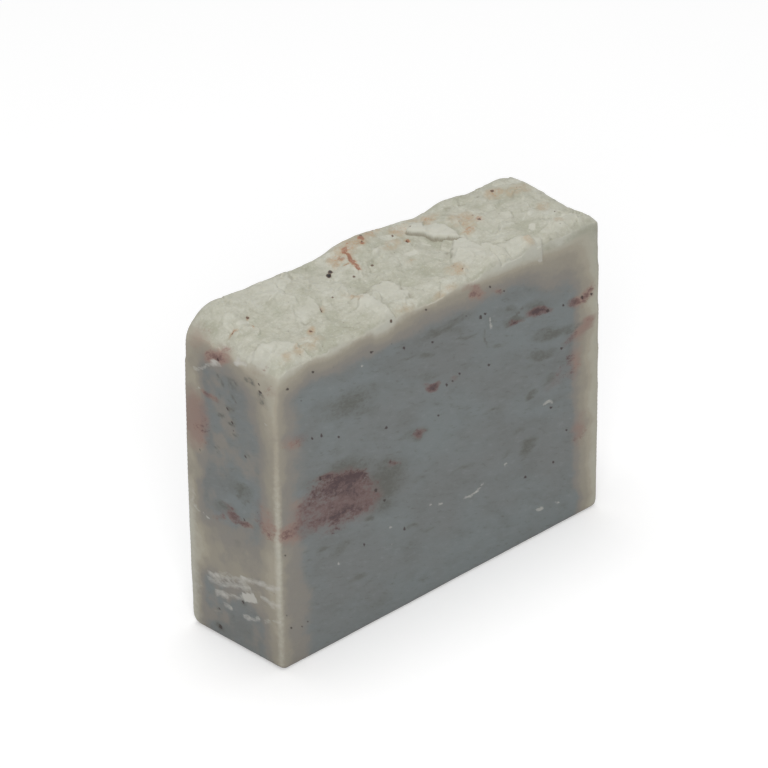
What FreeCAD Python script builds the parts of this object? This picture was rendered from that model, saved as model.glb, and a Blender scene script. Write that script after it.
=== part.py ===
# A bar of handmade soap, cut as one slice from a loaf and left as one solid piece.
#
# The frame: +X runs along the bar, +Y through the thickness of the slice, +Z is up.
# The origin is the middle of the flat base that the bar stands on. The front (-Y) and
# the back (+Y) are the two cut faces, the ends (-X, +X) and the base lay against the
# walls of the loaf mould, and the top is the lumpy skin of the loaf, smoothed by hand.

import FreeCAD
import Part
import Sketcher
import math
import os
from FreeCAD import Vector

# The driving sizes of the bar, in millimetres.
SIZES = {
    # The slice.
    "bar_length": 86.0,
    "slice_thickness": 25.0,
    "front_height": 64.5,
    "end_bulge": 0.6,
    # The top climbs from the front edge to the back edge, most of all at the left.
    "back_rise_left": 3.4,
    "back_rise_right": 0.3,
    # Soft lumps and hollows of the top: how high or deep, and how far they reach.
    "crest_height": 1.3,
    "crest_reach": 6.5,
    "dip_depth": 0.7,
    "dip_reach": 5.0,
    "saddle_depth": 0.8,
    "saddle_reach": 4.5,
    "knoll_height": 0.5,
    "knoll_reach": 4.5,
    "pocket_depth": 0.8,
    "pocket_reach": 3.0,
    "end_dip_depth": 0.5,
    "end_dip_reach": 4.0,
    # Smears of soft soap that were pressed flat on the top and end in a low step.
    "smear_thickness": 0.45,
    "smear_step_width": 3.2,
    "slab_length": 18.0,
    "slab_width": 7.5,
    "tongue_length": 12.0,
    "tongue_width": 6.0,
    "flake_length": 12.0,
    "flake_width": 8.5,
    "plateau_length": 22.0,
    "plateau_width": 9.0,
    # Roundings of the edges.
    "cut_edge_radius": 1.0,
    "base_corner_radius": 1.5,
    "front_rim_radius": 1.9,
    "back_rim_radius": 2.2,
    "left_shoulder_front_radius": 3.0,
    "left_shoulder_back_radius": 7.5,
    "right_shoulder_radius": 2.2,
}

# Where the lumps lie: the share of the length from the left end, and the share of
# the thickness from the front face. A lump keeps its share when the bar changes size.
LUMP_PLACES = {
    "crest": (0.50, 0.88),
    "dip": (0.36, 0.85),
    "saddle": (0.70, 0.95),
    "knoll": (0.775, 0.90),
    "pocket": (0.635, 0.56),
    "end_dip": (0.99, 0.40),
}

# Where the smears lie, in the same shares, and by how many degrees each is turned.
SMEAR_PLACES = {
    "slab": (0.722, 0.13, -8.0),
    "tongue": (0.335, 0.20, 72.0),
    "flake": (0.075, 0.20, 12.0),
    "plateau": (0.165, 0.80, -4.0),
}

# The power that the climb to the back follows: flat at the front, steeper behind.
CLIMB_POWER = 1.5
# How square a smear's outline is: 2 is an ellipse, and more is boxier.
SMEAR_SQUARENESS = 4.0
# The skin's points lie about this far apart, away from its rims.
SKIN_SPACING = 3.4
# The skin rolls over a rim in even steps until it is this steep, in degrees, where it
# meets the wall. Then it runs on straight for some more steps, to end outside.
RIM_STEEPEST = 76.0
RIM_STEPS = 3
RUN_ON_STEPS = 2
# The blank stands at least this far above the skin, for the trim to take away.
TRIM_ALLOWANCE = 4.0


def make_size_sheet(doc):
    """Writes each driving size to a cell of its own name."""
    sheet = doc.addObject("Spreadsheet::Sheet", "sizes")
    for row, (name, value) in enumerate(SIZES.items(), start=1):
        sheet.set(f"A{row}", name)
        sheet.set(f"B{row}", str(value))
        sheet.setAlias(f"B{row}", name)
    row = len(SIZES) + 1
    highest = "front_height + back_rise_left + crest_height + smear_thickness"
    sheet.set(f"A{row}", "blank_height")
    sheet.set(f"B{row}", f"={highest} + {TRIM_ALLOWANCE}")
    sheet.setAlias(f"B{row}", "blank_height")
    doc.recompute()
    return sheet


def origin_plane(body, role):
    """Returns the body's own origin plane with this role."""
    for feature in body.Origin.OriginFeatures:
        if feature.Role == role:
            return feature
    raise ValueError(f"{body.Label} has no plane {role}")


def draw_front_outline(body, sheet):
    """Draws the blank from the front: flat base and top, and two bulging ends.

    Each end is a shallow arc that reaches the full length half way up.
    """
    outline = body.newObject("Sketcher::SketchObject", "front_outline")
    outline.AttachmentSupport = [(origin_plane(body, "XZ_Plane"), "")]
    outline.MapMode = "FlatFace"
    reach = sheet.bar_length / 2
    corner = reach - sheet.end_bulge
    height = sheet.blank_height
    base_left = Vector(-corner, 0, 0)
    base_right = Vector(corner, 0, 0)
    top_right = Vector(corner, height, 0)
    top_left = Vector(-corner, height, 0)
    right_arc = Part.Arc(base_right, Vector(reach, height / 2, 0), top_right)
    left_arc = Part.Arc(top_left, Vector(-reach, height / 2, 0), base_left)
    base = outline.addGeometry(Part.LineSegment(base_left, base_right), False)
    right_end = outline.addGeometry(right_arc, False)
    top = outline.addGeometry(Part.LineSegment(top_right, top_left), False)
    left_end = outline.addGeometry(left_arc, False)

    start, end = 1, 2
    origin, upright_axis = -1, -2
    rule = Sketcher.Constraint
    outline.addConstraint(rule("Coincident", base, end, right_end, start))
    outline.addConstraint(rule("Coincident", right_end, end, top, start))
    outline.addConstraint(rule("Coincident", top, end, left_end, start))
    outline.addConstraint(rule("Coincident", left_end, end, base, start))
    outline.addConstraint(rule("Horizontal", base))
    outline.addConstraint(rule("Symmetric", base, start, base, end, origin, start))
    outline.addConstraint(rule("Symmetric", top, start, top, end, upright_axis))
    outline.addConstraint(rule("Equal", base, top))
    outline.addConstraint(rule("Equal", right_end, left_end))
    width = outline.addConstraint(rule("DistanceX", base, start, base, end, 2 * corner))
    outline.setExpression(
        f"Constraints[{width}]", "sizes.bar_length - 2 * sizes.end_bulge"
    )
    rise = outline.addConstraint(rule("DistanceY", base, start, top, end, height))
    outline.setExpression(f"Constraints[{rise}]", "sizes.blank_height")
    bow_radius = outline.Geometry[right_end].Radius
    bow = outline.addConstraint(rule("Radius", right_end, bow_radius))
    outline.setExpression(
        f"Constraints[{bow}]",
        "(sizes.blank_height^2 / 4 + sizes.end_bulge^2) / (2 * sizes.end_bulge)",
    )
    return outline


def edge_names(shape, wanted):
    """Names the edges of a shape whose bounding box passes the test."""
    return [
        f"Edge{number}"
        for number, edge in enumerate(shape.Edges, start=1)
        if wanted(edge.BoundBox)
    ]


def make_blank(doc, sheet):
    """Makes the slice as the wire cuts it from the loaf, before its top is shaped.

    The base corners are rounded first, as the mould's own corners are, and then the
    two cut outlines, so that each cut edge runs round them in one smooth chain.
    """
    body = doc.addObject("PartDesign::Body", "slice_blank")
    body.Label = "slice_blank"
    slice_pad = body.newObject("PartDesign::Pad", "slice")
    slice_pad.Profile = draw_front_outline(body, sheet)
    slice_pad.Midplane = True
    slice_pad.setExpression("Length", "sizes.slice_thickness")
    doc.recompute()

    near = 1e-3
    base_corners = body.newObject("PartDesign::Fillet", "base_corners")
    base_corners.Base = (
        slice_pad,
        edge_names(slice_pad.Shape, lambda box: box.ZMax < near and box.XLength < near),
    )
    base_corners.setExpression("Radius", "sizes.base_corner_radius")
    doc.recompute()

    cut_edges = body.newObject("PartDesign::Fillet", "cut_edges")
    cut_edges.Base = (
        base_corners,
        edge_names(base_corners.Shape, lambda box: box.YLength < near),
    )
    cut_edges.setExpression("Radius", "sizes.cut_edge_radius")
    doc.recompute()
    return body


def lump(x, y, centre_x, centre_y, reach):
    """A round bump of height 1 that fades away with distance from its centre."""
    away = math.hypot(x - centre_x, y - centre_y)
    return math.exp(-((away / reach) ** 2))


def smear(x, y, centre_x, centre_y, turn, half_length, half_width, step_width):
    """A flat patch of height 1 whose rim falls smoothly to 0 over the step's width."""
    angle = math.radians(turn)
    along = (x - centre_x) * math.cos(angle) + (y - centre_y) * math.sin(angle)
    across = (y - centre_y) * math.cos(angle) - (x - centre_x) * math.sin(angle)
    share_along = abs(along / half_length) ** SMEAR_SQUARENESS
    share_across = abs(across / half_width) ** SMEAR_SQUARENESS
    share = (share_along + share_across) ** (1 / SMEAR_SQUARENESS)
    inside = (1 - share) * min(half_length, half_width) / step_width + 0.5
    inside = max(0.0, min(1.0, inside))
    return inside * inside * (3 - 2 * inside)


def top_height(sheet, x, y):
    """The height of the loaf's skin above a point of the base, before its rims."""
    length, thickness = sheet.bar_length, sheet.slice_thickness
    share_along = x / length + 0.5
    share_across = max(0.0, y / thickness + 0.5)

    rise = sheet.back_rise_left
    rise += (sheet.back_rise_right - sheet.back_rise_left) * share_along
    height = sheet.front_height + rise * share_across**CLIMB_POWER

    lump_sizes = {
        "crest": (sheet.crest_height, sheet.crest_reach),
        "dip": (-sheet.dip_depth, sheet.dip_reach),
        "saddle": (-sheet.saddle_depth, sheet.saddle_reach),
        "knoll": (sheet.knoll_height, sheet.knoll_reach),
        "pocket": (-sheet.pocket_depth, sheet.pocket_reach),
        "end_dip": (-sheet.end_dip_depth, sheet.end_dip_reach),
    }
    for name, (lump_height, reach) in lump_sizes.items():
        along, across = LUMP_PLACES[name]
        centre_x = (along - 0.5) * length
        centre_y = (across - 0.5) * thickness
        height += lump_height * lump(x, y, centre_x, centre_y, reach)

    smear_sizes = {
        "slab": (sheet.slab_length, sheet.slab_width),
        "tongue": (sheet.tongue_length, sheet.tongue_width),
        "flake": (sheet.flake_length, sheet.flake_width),
        "plateau": (sheet.plateau_length, sheet.plateau_width),
    }
    for name, (smear_length, smear_width) in smear_sizes.items():
        along, across, turn = SMEAR_PLACES[name]
        centre_x = (along - 0.5) * length
        centre_y = (across - 0.5) * thickness
        height += sheet.smear_thickness * smear(
            x,
            y,
            centre_x,
            centre_y,
            turn,
            smear_length / 2,
            smear_width / 2,
            sheet.smear_step_width,
        )
    return height


def rim_points(radius):
    """How the skin rolls over a rim: each point's way in from the wall, and its drop.

    The first points are outside the wall, and the last is where the roll ends.
    """
    steepest = math.radians(RIM_STEEPEST)
    wall_drop = radius * (1 - math.cos(steepest))
    step_length = radius * steepest / RIM_STEPS
    points = []
    for step in range(RUN_ON_STEPS, 0, -1):
        run = step * step_length
        way_in = -run * math.cos(steepest)
        points.append((way_in, wall_drop + run * math.sin(steepest)))
    for step in range(RIM_STEPS, -1, -1):
        slope = steepest * step / RIM_STEPS
        way_in = radius * (math.sin(steepest) - math.sin(slope))
        points.append((way_in, radius * (1 - math.cos(slope))))
    return points


def stations(low, high, low_radius, high_radius, between):
    """Places and drops of the skin's points from one wall to the opposite one.

    The rims at both walls have their own points, and the stretch between them is
    shared out evenly.
    """
    low_rim = [(low + way_in, drop) for way_in, drop in rim_points(low_radius)]
    high_rim = [(high - way_in, drop) for way_in, drop in rim_points(high_radius)]
    first, last = low_rim[-1][0], high_rim[-1][0]
    middle = [
        (first + (last - first) * step / between, 0.0) for step in range(1, between)
    ]
    return low_rim + middle + high_rim[::-1]


def make_top_trim(doc, sheet):
    """Makes the solid that is trimmed off: all that lies above the skin of the loaf."""
    share_up = 2 * sheet.front_height / sheet.blank_height - 1
    end_inset = sheet.end_bulge * share_up**2
    wall_x = sheet.bar_length / 2 - end_inset
    wall_y = sheet.slice_thickness / 2
    columns = math.ceil(sheet.bar_length / SKIN_SPACING)
    rows = math.ceil(sheet.slice_thickness / SKIN_SPACING)
    front_to_back = stations(
        -wall_y, wall_y, sheet.front_rim_radius, sheet.back_rim_radius, rows
    )
    shoulder_growth = sheet.left_shoulder_back_radius - sheet.left_shoulder_front_radius
    lines_along = []
    for y, drop_y in front_to_back:
        share_across = y / sheet.slice_thickness + 0.5
        left_radius = sheet.left_shoulder_front_radius + shoulder_growth * share_across
        left_to_right = stations(
            -wall_x, wall_x, left_radius, sheet.right_shoulder_radius, columns
        )
        lines_along.append(
            [
                Vector(x, y, top_height(sheet, x, y) - drop_x - drop_y)
                for x, drop_x in left_to_right
            ]
        )
    # The skin faces up, so its lines across come first and those along second.
    skin = Part.BSplineSurface()
    skin.interpolate([list(line_across) for line_across in zip(*lines_along)])
    trim = doc.addObject("Part::Feature", "top_trim")
    trim.Label = "top_trim"
    trim.Shape = skin.toShape().extrude(Vector(0, 0, sheet.blank_height))
    return trim


def make_soap_bar(doc, sheet):
    """Trims the top of the blank down to the skin."""
    bar = doc.addObject("Part::Cut", "soap_bar")
    bar.Label = "soap_bar"
    bar.Base = make_blank(doc, sheet)
    bar.Tool = make_top_trim(doc, sheet)
    bar.Placement = FreeCAD.Placement()
    doc.recompute()
    return bar


def check_document(doc, parts):
    """Stops if a step has failed or a finished piece isn't one whole solid."""
    for item in doc.Objects:
        if "Invalid" in item.State or "Error" in item.State:
            raise RuntimeError(f"{item.Label} could not be made")
    for item in parts:
        if item.Shape.isNull() or not item.Shape.isValid():
            raise RuntimeError(f"{item.Label} is not a valid solid")
        if len(item.Shape.Solids) != 1:
            raise RuntimeError(f"{item.Label} is not one piece")


def main():
    doc = FreeCAD.newDocument("soap")
    sheet = make_size_sheet(doc)
    parts = [make_soap_bar(doc, sheet)]
    check_document(doc, parts)
    os.makedirs("parts", exist_ok=True)
    for item in parts:
        item.Shape.exportStep(f"parts/{item.Label}.step")
        size = item.Shape.BoundBox
        print(
            f"{item.Label}: {size.XLength:.2f} x {size.YLength:.2f} x {size.ZLength:.2f}"
            f" mm, {item.Shape.Volume / 1000:.1f} cm3, {len(item.Shape.Faces)} faces"
        )


main()
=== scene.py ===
# %% [markdown]
# # A bar of handmade soap
# The bar is one slice of a poured loaf. A wire cut its two large faces, so they are
# flat. Its ends and its base lay against the mould, and its top is soap that was
# smoothed with a spatula while it was still soft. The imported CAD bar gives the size
# and the main form, and this script adds the surface to it.

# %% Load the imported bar
import math

import bmesh
import bpy
import numpy as np
from mathutils import Matrix, Vector, noise
from mathutils.bvhtree import BVHTree


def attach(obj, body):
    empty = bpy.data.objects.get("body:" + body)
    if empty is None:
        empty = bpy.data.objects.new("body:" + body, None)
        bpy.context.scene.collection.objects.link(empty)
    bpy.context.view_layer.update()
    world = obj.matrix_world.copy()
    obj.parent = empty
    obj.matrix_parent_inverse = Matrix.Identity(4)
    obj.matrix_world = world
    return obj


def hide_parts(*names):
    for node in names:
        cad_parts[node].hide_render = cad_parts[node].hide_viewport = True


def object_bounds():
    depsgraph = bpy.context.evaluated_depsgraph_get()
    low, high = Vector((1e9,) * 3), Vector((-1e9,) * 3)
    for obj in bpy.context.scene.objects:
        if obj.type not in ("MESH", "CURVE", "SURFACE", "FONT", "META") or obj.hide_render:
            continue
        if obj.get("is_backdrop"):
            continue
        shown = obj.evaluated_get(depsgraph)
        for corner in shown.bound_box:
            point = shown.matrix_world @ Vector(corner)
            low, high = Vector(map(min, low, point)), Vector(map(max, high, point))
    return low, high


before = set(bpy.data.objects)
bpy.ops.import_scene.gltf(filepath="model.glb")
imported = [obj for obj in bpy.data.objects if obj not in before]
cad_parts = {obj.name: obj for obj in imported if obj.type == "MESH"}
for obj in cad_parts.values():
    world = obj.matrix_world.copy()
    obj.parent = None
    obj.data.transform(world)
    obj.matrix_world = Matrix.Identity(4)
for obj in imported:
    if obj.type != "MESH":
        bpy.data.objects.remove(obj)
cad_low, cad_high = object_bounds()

MM = 0.001
HALF_LENGTH_MM = 43.0
THICKNESS_MM = 25.0
bar_low = cad_low / MM
bar_high = cad_high / MM
print("bar in mm:", [round(high - low, 2) for low, high in zip(bar_low, bar_high)])

# %% [markdown]
# ## The camera
# A long lens stands far off, so that the upright edges stay nearly parallel. The camera
# looks down at the front left corner of the bar. Its turn, tilt and distance were found
# by fitting them to the corners of the bar in the photograph.

# %% Place the camera
PICTURE_WIDTH_PX = 768
FOCAL_PX = 6410.0
SENSOR_MM = 36.0
TURN_DEG = -44.103
TILT_DEG = 30.073
ROLL_DEG = -0.687
DISTANCE_MM = 1215.0
AIM_MM = Vector((0.0, 0.0, 32.4))
SLIDE_RIGHT_MM = -2.30
SLIDE_UP_MM = 6.26


def put_in_scene(name, data):
    """Makes an object of this camera, lamp or mesh and puts it in the scene."""
    thing = bpy.data.objects.new(name, data)
    bpy.context.scene.collection.objects.link(thing)
    return thing


turn, tilt, roll = (math.radians(a) for a in (TURN_DEG, TILT_DEG, ROLL_DEG))
away = Vector((math.sin(turn) * math.cos(tilt), -math.cos(turn) * math.cos(tilt), math.sin(tilt)))
level_right = Vector((math.cos(turn), math.sin(turn), 0.0))
level_up = away.cross(level_right)
right = level_right * math.cos(roll) + level_up * math.sin(roll)
up = level_up * math.cos(roll) - level_right * math.sin(roll)

lens = bpy.data.cameras.new("camera")
lens.sensor_width = SENSOR_MM
lens.lens = SENSOR_MM * FOCAL_PX / PICTURE_WIDTH_PX
lens.clip_end = 20.0
camera = put_in_scene("camera", lens)
spot = AIM_MM + away * DISTANCE_MM + right * SLIDE_RIGHT_MM + up * SLIDE_UP_MM
camera.matrix_world = Matrix.Translation(spot * MM) @ Matrix((right, up, away)).transposed().to_4x4()
bpy.context.scene.camera = camera
print("lens in mm:", round(lens.lens, 1))

# %% [markdown]
# ## Paint helpers
# Colours are written as a picture program shows them, from 0 to 255. Blender counts
# light evenly, so each colour is turned into linear light first. The light, the floor
# and the soap are each a small tree of nodes, and one helper adds all of their nodes.

# %% Define the paint helpers
def paint(red, green, blue):
    """Returns a linear colour for one that is written from 0 to 255."""
    linear = []
    for value in (red, green, blue):
        share = value / 255
        linear.append(share / 12.92 if share <= 0.04045 else ((share + 0.055) / 1.055) ** 2.4)
    return (*linear, 1.0)


def add_node(tree, kind, values, **settings):
    """Adds a node. Each of its inputs gets a number, a colour or a link."""
    node = tree.nodes.new("ShaderNode" + kind)
    for name, value in settings.items():
        setattr(node, name, value)
    for name, value in values.items():
        if hasattr(value, "is_output"):
            tree.links.new(value, node.inputs[name])
        else:
            node.inputs[name].default_value = value
    return node


print("middle grey in linear light:", round(paint(128, 128, 128)[0], 3))

# %% [markdown]
# ## The light
# The photograph was taken in soft, even daylight. A dim world light fills every side.
# One broad lamp above and beside the camera lights both visible walls alike, and a
# broad lamp overhead lifts the top. The background is white only for the camera and
# for mirror-like rays, so it adds no light of its own.

# %% Set the world light
WORLD_LEVEL = 0.32
world = bpy.data.worlds.new("soft_room")
bpy.context.scene.world = world
world.use_nodes = True
room = world.node_tree
room.nodes.clear()
WHITE = (1.0, 1.0, 1.0, 1.0)
ray = add_node(room, "LightPath", {}).outputs
bent_rays = {0: ray["Is Glossy Ray"], 1: ray["Is Transmission Ray"]}
bent = add_node(room, "Math", bent_rays, operation="MAXIMUM")
seen_rays = {0: ray["Is Camera Ray"], 1: bent.outputs[0]}
seen = add_node(room, "Math", seen_rays, operation="MAXIMUM")
fill = add_node(room, "Background", {"Color": WHITE, "Strength": WORLD_LEVEL})
backdrop = add_node(room, "Background", {"Color": WHITE, "Strength": 1.0})
choices = {0: seen.outputs[0], 1: fill.outputs[0], 2: backdrop.outputs[0]}
choice = add_node(room, "MixShader", choices)
add_node(room, "OutputWorld", {"Surface": choice.outputs[0]})
print("world level:", WORLD_LEVEL)

# %% Hang the lamps
# Each lamp: where it hangs in metres, how wide it is, and its power in watts. All
# lamps look at the middle of the bar.
LAMP_AIM = Vector((0.0, 0.0, 0.03))
LAMPS = {
    "key": ((-0.62, -0.66, 0.62), 0.45, 4.6),
    "overhead": ((0.05, 0.10, 1.00), 0.60, 4.3),
}
for lamp_name, (hung_at, width, power) in LAMPS.items():
    lamp_data = bpy.data.lights.new(lamp_name, "AREA")
    lamp_data.shape = "DISK"
    lamp_data.size = width
    lamp_data.energy = power
    lamp = put_in_scene(lamp_name, lamp_data)
    towards_bar = LAMP_AIM - Vector(hung_at)
    lamp.location = hung_at
    lamp.rotation_euler = towards_bar.to_track_quat("-Z", "Y").to_euler()
print("lamps:", sorted(LAMPS))

# %% [markdown]
# ## The floor
# The bar stands on a plain pale floor that runs out of the picture. The floor takes
# shadow as matt card does. Seen straight by the camera it also glows a little, so
# that it meets the white background without a line, and the shadow still shows.

# %% Lay the floor
FLOOR_WIDTH = 6.0
FLOOR_COLOUR = 0.80
FLOOR_GLOW = 0.32
floor_form = bmesh.new()
bmesh.ops.create_grid(floor_form, x_segments=1, y_segments=1, size=FLOOR_WIDTH / 2)
floor_mesh = bpy.data.meshes.new("floor")
floor_form.to_mesh(floor_mesh)
floor_form.free()
floor = put_in_scene("floor", floor_mesh)

floor_card = bpy.data.materials.new("floor_card")
floor_card.use_nodes = True
card = floor_card.node_tree
card.nodes.clear()
matt = add_node(card, "BsdfDiffuse", {"Color": (FLOOR_COLOUR, FLOOR_COLOUR, FLOOR_COLOUR, 1.0)})
straight = add_node(card, "LightPath", {}).outputs["Is Camera Ray"]
dim = add_node(card, "Math", {0: straight, 1: FLOOR_GLOW}, operation="MULTIPLY")
glow = add_node(card, "Emission", {"Strength": dim.outputs[0]})
both = add_node(card, "AddShader", {0: matt.outputs[0], 1: glow.outputs[0]})
add_node(card, "OutputMaterial", {"Surface": both.outputs[0]})
floor_mesh.materials.append(floor_card)
floor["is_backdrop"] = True
bpy.context.scene.view_settings.view_transform = "Standard"
print("floor width in m:", FLOOR_WIDTH)

# %% [markdown]
# ## A block of fine squares
# The surface has to carry ridges half a millimetre wide, so the bar needs a dense and
# even mesh. A cube is stretched to the bar's box and its edges are cut into equal
# steps, one direction at a time, which leaves squares on all six faces. The top and
# its rims are cut once more, because that is where the spatula worked. The base is flat
# and unseen, so most of its squares are joined again. A remesh would be even too, but
# its squares wouldn't line up with the rims.

# %% Cut the block
STEP_MM = 0.48
FINE_DEPTH_MM = 4.0
BASE_STEPS = 6
HIDDEN_STEPS = 2


def cut_block(low, high, step):
    """Returns a block of even squares between two corners."""
    block = bmesh.new()
    bmesh.ops.create_cube(block, size=1.0)
    bmesh.ops.scale(block, vec=high - low, verts=block.verts)
    bmesh.ops.translate(block, vec=(low + high) / 2, verts=block.verts)
    for axis in range(3):
        across = [i for i in range(3) if i != axis]
        runs = []
        for edge in block.edges:
            span = edge.verts[1].co - edge.verts[0].co
            if all(abs(span[i]) < 1e-4 for i in across):
                runs.append(edge)
        cuts = round((high - low)[axis] / step) - 1
        bmesh.ops.subdivide_edges(block, edges=runs, cuts=cuts, use_grid_fill=True)
    return block


def refine(block, wanted):
    """Cuts each face that the test picks into four."""
    edges = {edge for face in block.faces if wanted(face.calc_center_median()) for edge in face.edges}
    bmesh.ops.subdivide_edges(block, edges=list(edges), cuts=1, use_grid_fill=True)


def coarsen(block, outward, low, step, keep_every):
    """Joins the squares of the face that looks outward into larger ones."""
    spare = []
    for edge in block.edges:
        if any(face.normal.dot(outward) < 0.9 for face in edge.link_faces):
            continue
        first, second = (vert.co for vert in edge.verts)
        flat_axes = [i for i in range(3) if abs(outward[i]) < 0.5]
        axis = flat_axes[0] if abs(first[flat_axes[0]] - second[flat_axes[0]]) < 1e-4 else flat_axes[1]
        if round((first[axis] - low[axis]) / step[axis]) % keep_every:
            spare.append(edge)
    bmesh.ops.dissolve_edges(block, edges=spare, use_verts=True, use_face_split=False)


block = cut_block(bar_low, bar_high, STEP_MM)
true_step = [(bar_high[i] - bar_low[i]) / round((bar_high[i] - bar_low[i]) / STEP_MM) for i in range(3)]
block.normal_update()
coarsen(block, Vector((0, 0, -1)), bar_low, true_step, BASE_STEPS)
coarsen(block, Vector((0, 1, 0)), bar_low, true_step, HIDDEN_STEPS)
coarsen(block, Vector((1, 0, 0)), bar_low, true_step, HIDDEN_STEPS)
refine(block, lambda centre: centre.z > bar_high.z - FINE_DEPTH_MM)
print("block faces:", len(block.faces))

# %% [markdown]
# ## The form of the bar
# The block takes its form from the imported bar. A line runs from a core inside the bar
# out through each point, and the point moves to where that line leaves the bar's
# surface. On the flat walls nothing changes, and at the edges the squares fan round
# the curve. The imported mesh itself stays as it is: a merged copy is measured.

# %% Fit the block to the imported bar
CORE_INSET_MM = Vector((8.0, 3.0, 11.0))
BASE_INSET_MM = 2.5
TOP_PASSES = 10
WALL_PASSES = 3
TOP_ZONE_MM = 10.0

copy = bmesh.new()
copy.from_mesh(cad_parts["soap_bar"].data)
bmesh.ops.remove_doubles(copy, verts=copy.verts, dist=1e-7)
bmesh.ops.scale(copy, vec=(1 / MM,) * 3, verts=copy.verts)
packed_surface = BVHTree.FromBMesh(copy)
copy.free()

core_low = bar_low + Vector((CORE_INSET_MM.x, CORE_INSET_MM.y, BASE_INSET_MM))
core_high = bar_high - CORE_INSET_MM
missed = 0
for vert in block.verts:
    heart = Vector([min(max(vert.co[i], core_low[i]), core_high[i]) for i in range(3)])
    hit = packed_surface.ray_cast(heart, (vert.co - heart).normalized())[0]
    if hit is None:
        missed += 1
    else:
        vert.co = hit
walls = [vert for vert in block.verts if vert.co.z > 1.0]
top_zone = [vert for vert in walls if vert.co.z > bar_high.z - TOP_ZONE_MM]
for verts, passes in ((walls, WALL_PASSES), (top_zone, TOP_PASSES - WALL_PASSES)):
    for _ in range(passes):
        bmesh.ops.smooth_vert(
            block, verts=verts, factor=0.5, use_axis_x=True, use_axis_y=True, use_axis_z=True
        )
block.normal_update()
print("points fitted:", len(block.verts), "missed:", missed)

# %% Make the mesh
soap_mesh = bpy.data.meshes.new("soap_bar_cut_slice")
block.to_mesh(soap_mesh)
block.free()
COUNT = len(soap_mesh.vertices)
flat_list = np.empty(COUNT * 3)
soap_mesh.vertices.foreach_get("co", flat_list)
place = flat_list.reshape(-1, 3).copy()
soap_mesh.vertices.foreach_get("normal", flat_list)
facing = flat_list.reshape(-1, 3).copy()
X, Y, Z = place.T
print("mesh points:", COUNT)

# %% [markdown]
# ## Seats for the specks
# Ground herb and seed husk are scattered in the soap as specks about half a millimetre
# wide, which is as wide as one square of the mesh. The mesh point nearest to each
# speck's middle moves there along the surface, so that every speck has a point of its
# own and keeps its full darkness.

# %% Seat the specks
# Each speck on the front: its place in x and z, and its radius in mm.
FRONT_SPECKS = [
    (-33.3, 61.0, 0.26), (-18.3, 59.1, 0.26), (-10.0, 56.5, 0.26), (-4.1, 62.4, 0.22),
    (-13.1, 63.3, 0.25), (10.2, 55.0, 0.29), (11.5, 55.2, 0.21), (-2.4, 54.8, 0.2),
    (-33.8, 47.2, 0.22), (-31.4, 46.8, 0.24), (-27.0, 44.6, 0.21), (-14.8, 41.4, 0.27),
    (12.4, 43.8, 0.27), (-1.0, 38.3, 0.2), (32.1, 39.3, 0.25), (32.6, 48.7, 0.22),
    (28.3, 49.1, 0.31), (29.3, 27.5, 0.22), (22.2, 14.9, 0.27), (29.8, 15.1, 0.22),
    (-41.2, 25.1, 0.18), (-40.0, 8.8, 0.20), (-37.4, 7.9, 0.17), (-35.8, 8.2, 0.17),
    (-41.2, 11.9, 0.16), (-20.9, 18.5, 0.2), (-10.3, 17.5, 0.24), (33.6, 20.6, 0.2),
    (37.6, 48.3, 0.29), (40.2, 48.0, 0.27), (-17.7, 29.1, 0.3), (-15.4, 25.8, 0.22),
    (1.1, 44.0, 0.25), (2.8, 44.3, 0.19), (4.6, 45.0, 0.21), (-31.9, 37.7, 0.25),
    (12.8, 60.4, 0.21), (-39.8, 60.0, 0.25), (16.5, 58.0, 0.19), (-36.5, 56.2, 0.15),
    (-28.0, 59.8, 0.14), (-13.0, 58.6, 0.14), (6.5, 56.8, 0.15), (-5.8, 58.5, 0.12),
]
LEFT_SPECKS = [
    (0.4, 52.0, 0.21), (-0.8, 49.5, 0.21), (-4.2, 43.7, 0.2), (-8.4, 59.0, 0.25),
    (-8.0, 60.6, 0.19), (2.9, 61.4, 0.21), (-3.6, 29.6, 0.19), (4.3, 2.6, 0.37),
    (4.5, 6.6, 0.19), (-2.3, 11.1, 0.26), (8.2, 40.1, 0.16), (-1.2, 47.8, 0.16),
]
TOP_SPECKS = [
    (-2.9, 3.0, 0.24), (5.4, 11.4, 0.26), (-8.7, 1.9, 0.22), (-16.9, -0.9, 0.20),
    (-27.4, -5.9, 0.24), (-33.9, 4.1, 0.24), (-39.4, 2.4, 0.17), (6.9, 7.5, 0.20),
    (34.1, 8.1, 0.28), (-33.4, -9.4, 0.16), (1.2, 10.3, 0.22), (0.0, 8.7, 0.18),
    (-35.0, -11.0, 0.15), (-29.5, -11.2, 0.14), (-26.8, -11.2, 0.14), (24.3, 1.8, 0.27),
    (24.7, 4.0, 0.18), (37.2, -5.6, 0.16), (30.0, 10.1, 0.15), (28.5, 0.7, 0.16),
    (11.8, 7.8, 0.18), (8.1, 4.9, 0.20), (-14.0, -5.2, 0.14), (-2.3, -8.5, 0.15),
    (38.7, 6.0, 0.16), (-21.4, -2.4, 0.20), (35.0, -9.8, 0.12), (8.4, -9.6, 0.17),
]
# Two crumbs of leaf lie side by side on the top.
LEAVES = [(-11.8, 5.5, 0.95, 0.55, 60), (-10.6, 6.3, 0.85, 0.50, 60)]


def seat(specks, first, second, facing_share):
    """Moves the nearest mesh point on one face to the middle of each speck."""
    candidates = np.flatnonzero(facing_share > 0.9)
    for mid_first, mid_second, _ in specks:
        gaps = np.hypot(place[candidates, first] - mid_first, place[candidates, second] - mid_second)
        nearest = candidates[gaps.argmin()]
        place[nearest, first] = mid_first
        place[nearest, second] = mid_second


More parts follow.
